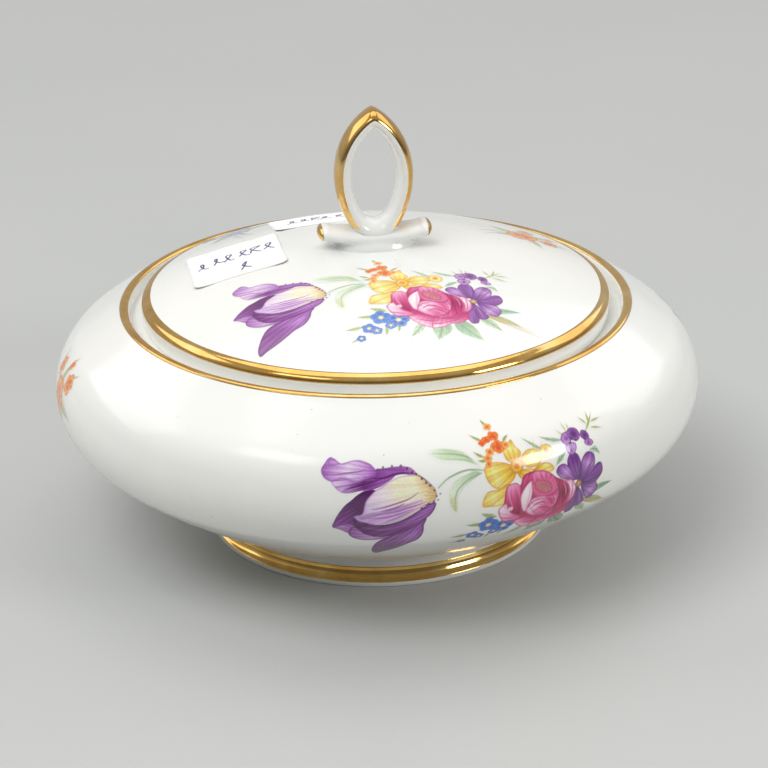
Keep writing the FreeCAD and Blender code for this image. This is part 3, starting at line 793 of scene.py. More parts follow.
        def at(t, side):
            bulge = math.sin(math.pi * t ** 0.8) * width / 2
            bow = lean * math.sin(math.pi * t)
            off = side * bulge + bow
            return (x0 + dx * t + nx * off, y0 + dy * t + ny * off)
        steps = [0.12, 0.3, 0.5, 0.7, 0.88]
        ring = [root] + [at(t, 1) for t in steps] + [tip] + [at(t, -1) for t in steps[::-1]]
        self.area(group, ring, tones, (root, tip), rim, 0.35, 0.6, 0.1, 30.0, soft, strength)
        if vein is not None:
            self.line(group, [at(t, 0) for t in (0.0, 0.25, 0.5, 0.75, 0.95)], 0.26, vein, 0.6)
            for t in (0.3, 0.5, 0.68):
                for side in (-1, 1):
                    self.line(group, [at(t, 0), at(min(t + 0.2, 0.95), side * 0.75)], 0.18, vein, 0.4)

    def hang(self, prefix, cads, place, body, slots, depth):
        """One mesh piece for each colour group, laid on the surface by place(p, q). depth above 1
        deepens the colours and below 1 pales them towards the glaze; on the lid bouquet that paling is
        painted sheen."""
        c = self.cover
        corners = [(slice(0, -1), slice(0, -1)), (slice(0, -1), slice(1, None)),
                   (slice(1, None), slice(1, None)), (slice(1, None), slice(0, -1))]
        peak = np.max([c[k] for k in corners], 0)
        pick = np.argmax([c[k] for k in corners], 0)
        owner = np.choose(pick, [self.owner[k] for k in corners])
        wide = len(self.xs)
        for number, group in enumerate(GROUPS):
            rows, cols = np.nonzero((peak > 0.02) & (owner == number))
            if group not in cads or len(rows) == 0:
                continue
            base = rows * wide + cols
            quads = np.stack([base, base + 1, base + wide + 1, base + wide], 1)
            used, flat = np.unique(quads, return_inverse=True)
            quads = flat.reshape(-1, 4)
            verts = [place(self.xs[u % wide], self.ys[u // wide]) for u in used]
            obj = piece(f"{prefix}_{group}_enamel", verts, quads.tolist(), body,
                        [cads[group]], slots[group], ENAMEL, False)
            glaze = np.array(GLAZE, float)
            rgb = glaze / 255.0 * np.clip(self.rgb.reshape(-1, 3)[used] / glaze, 0, 1) ** depth
            linear = np.where(rgb <= 0.04045, rgb / 12.92, ((rgb + 0.055) / 1.055) ** 2.4)
            alpha = self.cover.reshape(-1)[used]
            data = np.concatenate([linear, alpha[:, None]], 1).astype(np.float32)
            paint = obj.data.color_attributes.new("Paint", "FLOAT_COLOR", "POINT")
            paint.data.foreach_set("color", data.ravel())
            obj.data.update()


# Colours of the painting, 0 to 255.
T_DARK, T_DEEP, T_MID = (92, 38, 98), (124, 60, 134), (156, 92, 172)
T_LIGHT, T_PALE, T_CREAM, T_TAN = (200, 158, 212), (224, 202, 230), (246, 236, 206), (214, 176, 112)
R_DEEP, R_CRIM, R_MID = (146, 20, 74), (184, 42, 102), (214, 96, 148)
R_LIGHT, R_PALE, R_EYE = (238, 174, 204), (250, 230, 239), (182, 92, 106)
V_DARK, V_MID, V_LIGHT = (90, 42, 108), (132, 74, 152), (186, 140, 202)
L_PALE, L_MID, L_DARK = (190, 212, 174), (132, 172, 122), (76, 120, 92)
L_OLIVE, L_TEAL, L_LINE = (184, 186, 84), (138, 186, 170), (106, 130, 74)
O_DEEP, O_MID, O_PALE = (216, 84, 28), (234, 124, 52), (246, 186, 114)
Y_DEEP, Y_MID, Y_LIGHT = (208, 150, 48), (240, 198, 88), (250, 228, 148)
B_DEEP, B_MID, B_LIGHT = (40, 72, 156), (70, 114, 200), (146, 178, 230)


def paint_leaves(s):
    g = "leaves"
    s.area(g, [(-10.5, 8.7), (-12.1, 10.2), (-13.5, 12.1), (-15.5, 13.2), (-18.6, 13.8), (-20.8, 13.7),
               (-22, 13.2), (-21.5, 12.3), (-20.5, 11.5), (-18.7, 10.7), (-16.3, 10.4), (-14, 9.8),
               (-11.9, 9)],
           [L_MID, L_PALE, L_PALE, (226, 234, 214)], ((-10.5, 9), (-22, 12.8)), L_MID, 0.3, 0.5,
           0.05, 18, 0.6, 0.9)
    s.line(g, [(-10.6, 8.9), (-13, 10.8), (-16, 12), (-21, 12.6)], 0.3, L_LINE, 0.45)
    s.line(g, [(-11.5, 9.4), (-14, 10.6), (-18, 11.2)], 0.2, L_LINE, 0.35)
    s.area(g, [(-10.8, 7.9), (-12.5, 8.5), (-14.2, 8.2), (-16.3, 7.4), (-17.8, 6.2), (-18.4, 4.3),
               (-18.3, 2.4), (-17.6, 0.8), (-16.6, -0.1), (-16.2, 1.2), (-16.1, 3), (-15.5, 4.4),
               (-14.1, 5.7), (-12.3, 6.7), (-10.7, 7.5)],
           [L_MID, L_PALE, (222, 234, 214), L_OLIVE], ((-10.8, 7.8), (-16.8, 0)), L_TEAL, 0.3, 0.5,
           0.05, 18, 0.5, 0.85)
    s.line(g, [(-11, 7.6), (-14, 6.8), (-16.6, 4.6), (-17, 1.2)], 0.25, L_LINE, 0.5)
    s.line(g, [(-20.2, 5.8), (-18.4, 7.3), (-16.2, 8.2), (-14, 8.6), (-12, 8.4), (-10.6, 8.1)],
           0.5, L_MID, 0.8, (0.7, 0.7))
    s.line(g, [(-18, 7.5), (-15, 8.6), (-12, 8.6)], 0.18, L_LINE, 0.5)
    # upper right sprig
    for root, tip in (((14, 10.6), (18.6, 14.4)), ((16, 12), (17.1, 15)), ((15.6, 12), (14.2, 14.4)),
                      ((16.5, 12.4), (19.8, 12.6)), ((15.8, 11.4), (19.2, 10.4))):
        s.leaf(g, root, tip, 0.9, [L_OLIVE, L_PALE], L_OLIVE, 0, 0.3, 0.9)
        s.line(g, [root, tip], 0.2, L_LINE, 0.6)
    for root, tip in (((9.8, 11.6), (9.4, 14.8)), ((9, 11), (7.2, 13.4)), ((10.4, 12), (10.8, 14))):
        s.leaf(g, root, tip, 0.9, [L_OLIVE, L_PALE], L_OLIVE, 0, 0.3, 0.8)
    s.leaf(g, (8.6, 10.6), (2.6, 12.8), 1.5, [L_TEAL, L_PALE], L_TEAL, 0.4, 0.4, 0.8, L_LINE)
    s.leaf(g, (4, 9), (-1.4, 13.6), 1.3, [L_MID, L_PALE], L_TEAL, 0.2, 0.4, 0.7, L_LINE)
    s.leaf(g, (13.6, 7.2), (16.4, 5.4), 1.8, [L_TEAL, L_PALE], L_TEAL, 0.7, 0.4, 0.8, L_LINE)
    s.leaf(g, (5, 6), (8.6, 8.6), 1.6, [L_MID, L_TEAL], L_MID, 0.2, 0.4, 0.8, L_LINE)
    for a, b in (((0.6, 9.6), (1.6, 12.6)), ((1.6, 9.2), (3.4, 11.6))):
        s.line(g, [a, b], 0.3, (206, 168, 120), 0.6)
    # right-hand leaves
    s.leaf(g, (12, -2.6), (20.4, -1.4), 2.2, [L_DARK, L_MID, L_TEAL], L_DARK, 0.4, 0.35, 0.9, L_DARK)
    s.leaf(g, (13, -1.4), (16.6, 2.6), 1.3, [L_MID, L_OLIVE], L_MID, -0.3, 0.35, 0.85, L_LINE)
    s.leaf(g, (11.4, -3.4), (19.8, -6.6), 2.4, [L_DARK, L_OLIVE, L_MID], L_DARK, 0.3, 0.35, 0.9, L_DARK)
    s.leaf(g, (10, -4), (15.2, -8.8), 2.6, [L_MID, L_PALE], L_MID, 0.3, 0.45, 0.85, L_LINE)
    for k, tone in enumerate(((214, 150, 120), L_OLIVE, (222, 170, 150))):
        s.line(g, [(11 + 0.5 * k, -3.4), (16 + 0.4 * k, -6 + 0.3 * k), (22.4, -8.6 + 0.5 * k)], 0.35,
               tone, 0.85, (0.8, 0.4))
    # leaves under the rose
    s.leaf(g, (3, -5), (1.0, -12.4), 4.8, [L_DARK, L_MID, L_PALE], L_MID, 0.2, 0.5, 0.9, L_DARK)
    s.leaf(g, (5, -5), (10.8, -12.2), 4.4, [L_DARK, L_MID, L_PALE], L_MID, -0.3, 0.5, 0.9, L_DARK)
    s.leaf(g, (-1, -6), (-4.6, -11.2), 2.4, [L_MID, L_PALE], L_MID, 0.3, 0.4, 0.8, L_LINE)
    # small leaves about the blue flowers
    for root, tip, w in (((-8, -2.4), (-11.8, -0.7), 1.8), ((-10.6, -3.6), (-14.8, -3.4), 1.4),
                         ((-13.2, -6.6), (-17.8, -7.2), 1.5), ((-9, -7.2), (-9.4, -10.2), 1.3),
                         ((-13.8, -9.4), (-17, -11.2), 1.0), ((-6.4, -6.6), (-6.8, -9.4), 1.2)):
        s.leaf(g, root, tip, w, [L_MID, L_OLIVE, L_PALE], L_MID, 0.2, 0.3, 0.85, L_LINE)
    # leaflets beside the orange sprig
    for root, tip in (((-9, 13.6), (-12.4, 16)), ((-9.6, 10.4), (-12.4, 12.2)), ((-9.4, 10), (-11.8, 10.2)),
                      ((-5.6, 12.6), (-3.4, 14.6)), ((-7.4, 17), (-8.6, 19))):
        s.leaf(g, root, tip, 1.1, [Y_LIGHT, L_OLIVE, L_PALE], L_OLIVE, 0.2, 0.3, 0.85, L_LINE)


def paint_yellow(s):
    g = "yellow_flowers"
    rings = [
        ([(-5.9, 11.4), (-4.7, 12.4), (-3.4, 13.3), (-2.9, 11.8), (-2, 10.3), (-3.2, 8.7), (-5.4, 9)],
         (-3.8, 8.4), (-3.6, 13)),
        ([(-2.6, 9), (-0.6, 10.6), (1.6, 10.2), (2.4, 8.4), (0.8, 7), (-1.6, 7.2)], (-3, 8), (2.4, 9.2)),
        ([(-10.5, 8.6), (-10.4, 6.4), (-9.2, 4.5), (-7.7, 3.9), (-6.1, 4.2), (-4.4, 5.6), (-3.8, 7.4),
          (-5.6, 8.8), (-8.4, 9.4)], (-4, 8), (-10.6, 6)),
        ([(-11.2, 2.5), (-10.2, 3.8), (-7.9, 4), (-5.8, 4.8), (-4.4, 3), (-6, 1), (-7.7, 0.3),
          (-9.5, 0.4), (-11.4, 0.7)], (-4.6, 4.4), (-11.4, 1.4)),
        ([(-3.8, 6.4), (-2.3, 7), (0, 6.6), (0.8, 5.2), (-2.2, 4.6)], (-3.4, 7.4), (1, 5)),
        ([(-0.4, 6.2), (1.7, 7.4), (3.8, 7), (4.6, 5.6), (2.7, 5), (0.4, 5.2)], (0, 5.6), (4.6, 6.4)),
    ]
    for ring, root, tip in rings:
        s.area(g, ring, [Y_DEEP, Y_MID, Y_LIGHT, Y_MID], (root, tip), Y_DEEP, 0.28, 0.75, 0.14, 22)
    s.area(g, [(2, 9.4), (3, 10.8), (4.6, 10.6), (5.2, 9.2), (4.2, 8), (2.6, 8.2)],
           [Y_MID, Y_LIGHT, Y_MID], None, Y_DEEP, 0.25, 0.6)
    s.dot(g, (-3.6, 7.8), 1.5, [O_PALE, Y_MID, Y_DEEP], Y_DEEP, rim_w=0.3)
    s.dot(g, (-3.6, 7.8), 0.6, [Y_DEEP, O_MID], None)
    s.dot(g, (3.6, 9.5), 0.55, [O_MID, Y_DEEP], None)


def paint_orange(s):
    g = "orange_sprig"
    s.line(g, [(-9, 9), (-8, 12), (-7.4, 15), (-7.4, 18)], 0.3, L_LINE, 0.6)
    blobs = [(-6.6, 12.3, 1.9, 1.2), (-7, 14.7, 1.5, 1.0), (-8.8, 14.1, 1.1, 0.8), (-9.9, 13.5, 0.9, 0.8),
             (-7.5, 16.9, 1.1, 0.8), (-8.7, 11.5, 1.1, 0.8), (-9.4, 10.3, 1.0, 0.9), (-9.4, 9.2, 0.9, 0.8),
             (-4.9, 12.4, 0.9, 0.7)]
    for k, (x, y, w, h) in enumerate(blobs):
        tones = [O_DEEP, O_MID, O_PALE] if k < 4 else [O_MID, O_PALE, Y_LIGHT]
        for j in range(4):
            a = j * math.pi / 2 + 0.5 * k
            s.dot(g, (x + 0.42 * w * math.cos(a), y + 0.42 * h * math.sin(a)), 0.52 * w, tones,
                  O_DEEP if k < 4 else O_MID, rim_w=0.2, rim_s=0.6)
        s.dot(g, (x, y), 0.3 * w, [O_DEEP, O_DEEP], None, strength=0.7)


def paint_blue(s):
    g = "blue_flowers"
    for x, y, r, tone in ((-9.7, -4.3, 2.1, B_MID), (-6.2, -5.4, 2.2, B_DEEP), (-12.5, -7.4, 1.5, B_MID),
                          (-11, -8.3, 1.2, B_LIGHT), (-14.4, -10.2, 1.0, B_MID), (-8, -7, 1.2, B_LIGHT)):
        for k in range(5):
            a = 2 * math.pi * k / 5 + x
            s.dot(g, (x + 0.55 * r * math.cos(a), y + 0.55 * r * math.sin(a)), 0.52 * r,
                  [tone, B_MID, B_LIGHT], B_DEEP, rim_w=0.22, rim_s=0.7)
        s.dot(g, (x, y), 0.22 * r + 0.12, [(250, 240, 190), (226, 190, 120)], None)


def paint_tulip(s):
    g = "tulip"
    s.area(g, [(-32.3, 6), (-34.6, 5.9), (-36.2, 5), (-37.3, 4), (-38.5, 3), (-39.5, 1.7), (-40.3, 0.4),
               (-40.9, -0.9), (-41.3, -2), (-41, -2.5), (-40, -2.7), (-39, -3.2), (-38.2, -3.8),
               (-36.7, -4), (-34.8, -2.6), (-33.6, 0), (-33, 3), (-31.6, 5.6)],
           [T_DARK, T_DARK, T_DEEP, T_MID], ((-33, 4), (-41.4, -2)), T_DARK, 0.3, 0.7, 0.26, 70)
    s.area(g, [(-41, -2.3), (-39.6, -1.6), (-38, -1.2), (-36.6, -1.8), (-36.6, -3.6), (-38.2, -3.8),
               (-39.6, -3)], [T_MID, T_LIGHT], ((-36.6, -3), (-41, -2.4)), T_DARK, 0.25, 0.7, 0.2)
    s.line(g, [(-41, -1.8), (-39.4, 0.4), (-37.6, 2.6), (-35, 4.6)], 0.3, T_DARK, 0.6)
    s.area(g, [(-38, -3.3), (-38.1, -4.4), (-37.2, -5.5), (-35.5, -6.2), (-33.5, -6.3), (-31.1, -5.8),
               (-29.2, -5.1), (-28.8, -4.2), (-31, -3.8), (-34.6, -3.4), (-36.4, -2.2), (-37.4, -2.2)],
           [T_MID, T_LIGHT, T_MID], ((-29, -4.6), (-38, -4.2)), T_DARK, 0.28, 0.8, 0.24, 64)
    s.area(g, [(-22.7, -0.4), (-23.1, -2.1), (-23.1, -3.6), (-23.5, -5.4), (-24.4, -7), (-26.1, -8.6),
               (-27.7, -10.8), (-29.4, -12.9), (-31.3, -14.8), (-32.8, -16.4), (-33.7, -14.7),
               (-33.7, -11.7), (-33.1, -8.4), (-32, -6.5), (-30.8, -5.6), (-29.1, -4.4), (-27.1, -3.4),
               (-25.3, -2.2)],
           [T_MID, T_MID, T_DEEP, T_DEEP], ((-23, -1), (-33.2, -15.6)), T_DARK, 0.35, 0.85, 0.26, 76)
    s.area(g, [(-24.4, -3), (-24.2, -5), (-25.6, -6.8), (-28, -7.6), (-30.2, -7.6), (-28.6, -5.8)],
           [T_LIGHT, T_MID], ((-24.4, -4), (-30, -8)), None, veins=0.15, soft=0.9, strength=0.55)
    for x in (0, 0.9, 1.8, 2.7):
        s.line(g, [(-25.4 - x, -3.4 - 0.6 * x), (-28 - x, -7.4 - 0.5 * x), (-31 - 0.6 * x, -12.6 + x)], 0.2,
               T_DARK, 0.4)
    # upper petal and its curl
    s.area(g, [(-41.3, 7.3), (-40.6, 6.4), (-39.6, 5.6), (-38.5, 5.3), (-37.2, 5.4), (-35.9, 5.7),
               (-34.6, 5.9), (-33.2, 6), (-31.6, 6.6), (-30.3, 7.4), (-29.3, 8), (-28.6, 8.8),
               (-29.7, 9.6), (-31.2, 9.4), (-33.6, 9.2), (-36.2, 8.6), (-39.3, 8.9), (-41.1, 8.2)],
           [T_MID, T_MID, T_DEEP, T_LIGHT, T_PALE], ((-28.6, 8.8), (-41.4, 6.6)), T_MID, 0.3, 0.5, 0.26, 70)
    for k in range(5):
        s.line(g, [(-31 - 0.8 * k, 8.2 - 0.2 * k), (-34 - 0.8 * k, 7.2 - 0.2 * k),
                   (-37.4 - 0.5 * k, 7 - 0.35 * k)], 0.24, T_DARK, 0.5)
    s.area(g, [(-41.7, 12.4), (-42.4, 11.9), (-42.9, 11), (-43.3, 10.4), (-43.5, 9.7), (-43.3, 8.9),
               (-42.7, 8.1), (-41.8, 7.6), (-41.1, 7.5), (-40.1, 7.8), (-39.3, 8.1), (-38.5, 8.1),
               (-37.2, 7.7), (-35.9, 7.6), (-34.5, 8.1), (-33.2, 8.5), (-32.1, 9), (-32.2, 9.7),
               (-32.9, 10.5), (-33.5, 11.1), (-34.6, 11.6), (-35.8, 11.9), (-37.3, 11.8), (-38.5, 11.4),
               (-39.5, 11.2), (-40.2, 11.6), (-40.7, 12), (-41.3, 12.3)],
           [T_MID, T_LIGHT, T_PALE, T_LIGHT, T_MID], ((-32.2, 9.6), (-43.6, 10.4)), T_MID, 0.35, 0.7,
           0.17, 60)
    s.line(g, [(-41.8, 12.2), (-42, 11), (-41, 10.8), (-39.6, 11.1)], 0.5, T_MID, 0.6)
    for k in range(6):
        s.line(g, [(-32.8 - 0.9 * k, 9.8 - 0.05 * k), (-35 - 0.9 * k, 9.7 - 0.12 * k),
                   (-37.4 - 0.8 * k, 9.2 - 0.1 * k)], 0.18, T_MID, 0.55)
    s.area(g, [(-32.4, 10.1), (-31.2, 10.2), (-29.7, 10.4), (-28.5, 10.5), (-26.8, 10.5), (-25.5, 10.2),
               (-24.7, 9.5), (-24.2, 8.7), (-25.3, 8.6), (-26.6, 8.8), (-27.9, 8.8), (-29.2, 8.5),
               (-30.6, 8.3), (-32.2, 8.2), (-33.6, 8.2), (-32.6, 8.9)],
           [T_LIGHT, T_MID, T_MID, T_DEEP], ((-24.2, 9), (-33, 8.8)), T_MID, 0.22, 0.6, 0.15, 20)
    s.line(g, [(-24.2, 8.7), (-26, 9.1), (-28.5, 9), (-31, 8.3), (-33.8, 8.2)], 0.4, T_DARK, 0.8)
    # middle petal
    s.area(g, [(-24.2, 8.7), (-25.6, 8.7), (-27.6, 8.5), (-29, 8), (-30.3, 7.4), (-31.4, 6.6),
               (-32.6, 5.9), (-33.6, 4.9), (-34.4, 3.9), (-34.8, 2.7), (-35, 1.6), (-35.5, 0.9),
               (-36.4, 0.7), (-36.9, 0.4), (-36.5, -0.1), (-35.8, -0.8), (-34.7, -1.1), (-32.7, -1.4),
               (-30.4, -1.3), (-28.1, -0.7), (-26.4, 0.2), (-24.7, 1.1), (-23.4, 2.1), (-22.3, 2.8),
               (-21.3, 3.6), (-20.6, 4.6), (-20.9, 5.7), (-22.1, 6.9), (-23, 8)],
           [T_TAN, T_CREAM, T_CREAM, (236, 222, 232), T_PALE, T_LIGHT], ((-20.6, 5), (-36.6, -0.6)),
           T_MID, 0.22, 0.55, 0.06, 30)
    s.area(g, [(-23.4, 4.4), (-26.1, 3.6), (-28.8, 2.7), (-31.2, 2), (-34, 1.6), (-36.6, 0.3), (-34.7, -1.1),
               (-32.7, -1.4), (-30.4, -1.3), (-28.1, -0.7), (-26.4, 0.2), (-24.7, 1.1), (-23, 2.4)],
           [(232, 206, 214), T_LIGHT, T_LIGHT, T_LIGHT], ((-23, 3.6), (-36, -0.4)), None, veins=0.22,
           vein_n=30, soft=0.7, strength=0.85)
    for pts, w in (([(-24.2, 5.2), (-26.1, 4), (-28.8, 3.1), (-31.2, 2.4), (-33.4, 2)], 0.34),
                   ([(-22.4, 3.4), (-24.2, 2.7), (-26.6, 2.1), (-29, 1.4), (-32.6, 0.8)], 0.3),
                   ([(-25.4, 1.9), (-27.8, 1), (-30.6, 0.2), (-34, 0)], 0.3),
                   ([(-27, 3.1), (-29, 2.2), (-31.6, 1.6)], 0.4)):
        s.line(g, pts, w, T_MID, 0.85)
    # lower band
    s.area(g, [(-36.9, 0.2), (-36, -0.8), (-34.7, -1.2), (-32.7, -1.5), (-30.4, -1.4), (-28.1, -0.8),
               (-26.4, 0.1), (-24.7, 1.1), (-23.4, 2), (-22.3, 2.7), (-20.8, 2.9), (-21, 1.7),
               (-21.8, 0.4), (-23.1, -0.8), (-24.7, -2.1), (-27.1, -3.5), (-29.6, -4.7), (-32.1, -5.1),
               (-34.6, -4.3), (-36, -2.9), (-37, -1.4)],
           [T_MID, T_MID, T_DEEP, T_DEEP, T_DARK], ((-20.8, 2.6), (-36.6, -1.6)), T_DARK, 0.28, 0.85,
           0.3, 80)
    s.line(g, [(-21.4, 2.2), (-24, 0.4), (-27.4, -1.8), (-31, -2.9), (-35.4, -2.2)], 0.5, T_LIGHT, 0.35)
    s.line(g, [(-22.3, 2.7), (-24.7, 1), (-28.1, -0.9), (-32, -1.7), (-36.4, -0.4)], 0.3, T_DARK, 0.9)
    # tan foot of the flower with its broken outline
    s.area(g, [(-20.4, 4.6), (-21, 5.9), (-22.2, 6.4), (-23.4, 5.6), (-23.6, 4.4), (-23.2, 3.2),
               (-22, 2.8), (-20.9, 3.2)], [T_TAN, (226, 200, 150), T_CREAM], ((-20.5, 4.4), (-23.6, 4.8)),
           None, veins=0.1, soft=0.6, strength=0.9)
    s.line(g, [(-20.8, 5.8), (-22.2, 7.2), (-23.6, 8.3), (-24.8, 9)], 0.3, (120, 84, 84), 0.75)
    s.line(g, [(-20.6, 4.8), (-20.9, 3.6), (-21.8, 2.9), (-23.4, 2.5)], 0.28, (120, 84, 84), 0.7)
    for x, y in ((-31, 10.4), (-29.2, 10.6), (-27.4, 10.6), (-26.2, 10), (-25.2, 9.2), (-24.4, 8.8),
                 (-23.4, 7.8), (-22.6, 7), (-21.8, 6.4), (-21, 5.4), (-20.6, 4.2), (-21.2, 3.1),
                 (-22.2, 2.7), (-23.6, 1.9), (-20.4, 3.4), (-19.9, 4.6)):
        s.dot(g, (x, y), 0.2 + 0.12 * s.rng.random(), [(92, 50, 70), (92, 50, 70)], None, strength=0.85)


def paint_violet(s):
    g = "violet_flowers"
    petals = [
        [(10, 2.2), (8.6, 3.7), (8, 5.8), (8.7, 7.1), (9.8, 7.4), (10.7, 6.6), (10.9, 5), (10.6, 3.3)],
        [(10.7, 2.1), (11.3, 4.9), (12.2, 6.2), (13.4, 6.6), (14.5, 5.8), (14.4, 4.1), (13.7, 2.7),
         (11.9, 1.5)],
        [(11.4, 1.2), (13.4, 2.5), (14.9, 3.7), (16, 3.7), (16.4, 2.4), (15.9, 1.2), (14.4, 0.3),
         (12.4, 0.5)],
        [(11.4, 0.6), (13.5, 0.3), (15, -0.4), (15.4, -1.8), (14.6, -3.2), (13.3, -3.3), (11.6, -1)],
        [(10.4, -0.1), (11.7, -2.1), (12.4, -3.9), (11.3, -4.8), (9.5, -4), (9, -1.6), (9.6, -0.2)],
        [(9.2, 2.3), (7.5, 2.8), (5.9, 3.6), (5.2, 4.7), (5.9, 5.7), (7.3, 5.7), (8.6, 4)],
        [(8.2, -5.1), (7.6, -3.2), (9, -1.8), (10.2, -3.4), (10.2, -5.8), (8.9, -6.4)],
        [(9.4, 0.6), (7, -0.6), (7, -2.6), (8.4, -3), (9.8, -1)],
    ]
    for k, ring in enumerate(petals):
        mid = np.mean(ring, 0)
        ring = [tuple(mid + 1.16 * (np.array(v) - mid)) for v in ring]
        tip = max(ring, key=lambda v: math.hypot(v[0] - 10.3, v[1] - 1.0))
        s.area(g, ring, [V_DARK, V_MID, V_LIGHT if k % 2 else V_MID, V_MID], ((10.3, 1), tip), V_DARK,
               0.22, 0.85, 0.2, 18)
        for side in (-0.25, 0.05, 0.3):
            dx, dy = tip[0] - 10.3, tip[1] - 1.0
            s.line(g, [(10.3 + 0.25 * dx, 1 + 0.25 * dy),
                       (10.3 + 0.8 * dx - side * dy, 1 + 0.8 * dy + side * dx)], 0.16,
                   V_LIGHT if side == 0.05 else V_DARK, 0.55)
    s.dot(g, (10.3, 1.0), 0.85, [(226, 190, 120), (196, 150, 100), (150, 110, 90)], (110, 70, 70), rim_w=0.2)
    rings = [
        [(7.7, 10.8), (8.6, 11.9), (9.9, 12), (10.4, 10.8), (9.8, 9.6), (8.4, 9.4)],
        [(9.6, 11.8), (11, 12.6), (12.4, 12.1), (12.7, 10.6), (11.6, 9.6), (10.1, 10.2)],
        [(8.2, 9.2), (9.6, 9.8), (10.9, 9.4), (10.8, 8.2), (9.6, 7.2), (8.4, 7.8)],
        [(12.6, 10.2), (13.3, 11.4), (14.5, 11), (14.8, 9.7), (13.8, 9)],
        [(13.2, 9.2), (14.6, 9.4), (15.4, 8.4), (14.4, 7.8), (13.2, 8.4)],
    ]
    for k, ring in enumerate(rings):
        s.area(g, ring, [V_MID, V_LIGHT, V_LIGHT] if k in (0, 2, 4) else [V_DARK, V_MID, V_LIGHT], None,
               V_DARK, 0.22, 0.7, 0.2, 14)
    for x, y in ((10.2, 10.4), (9.6, 9.6), (11.2, 9.8), (9.4, 8.2), (13.4, 9.6)):
        s.dot(g, (x, y), 0.3, [V_DARK, V_DARK], None, strength=0.7)


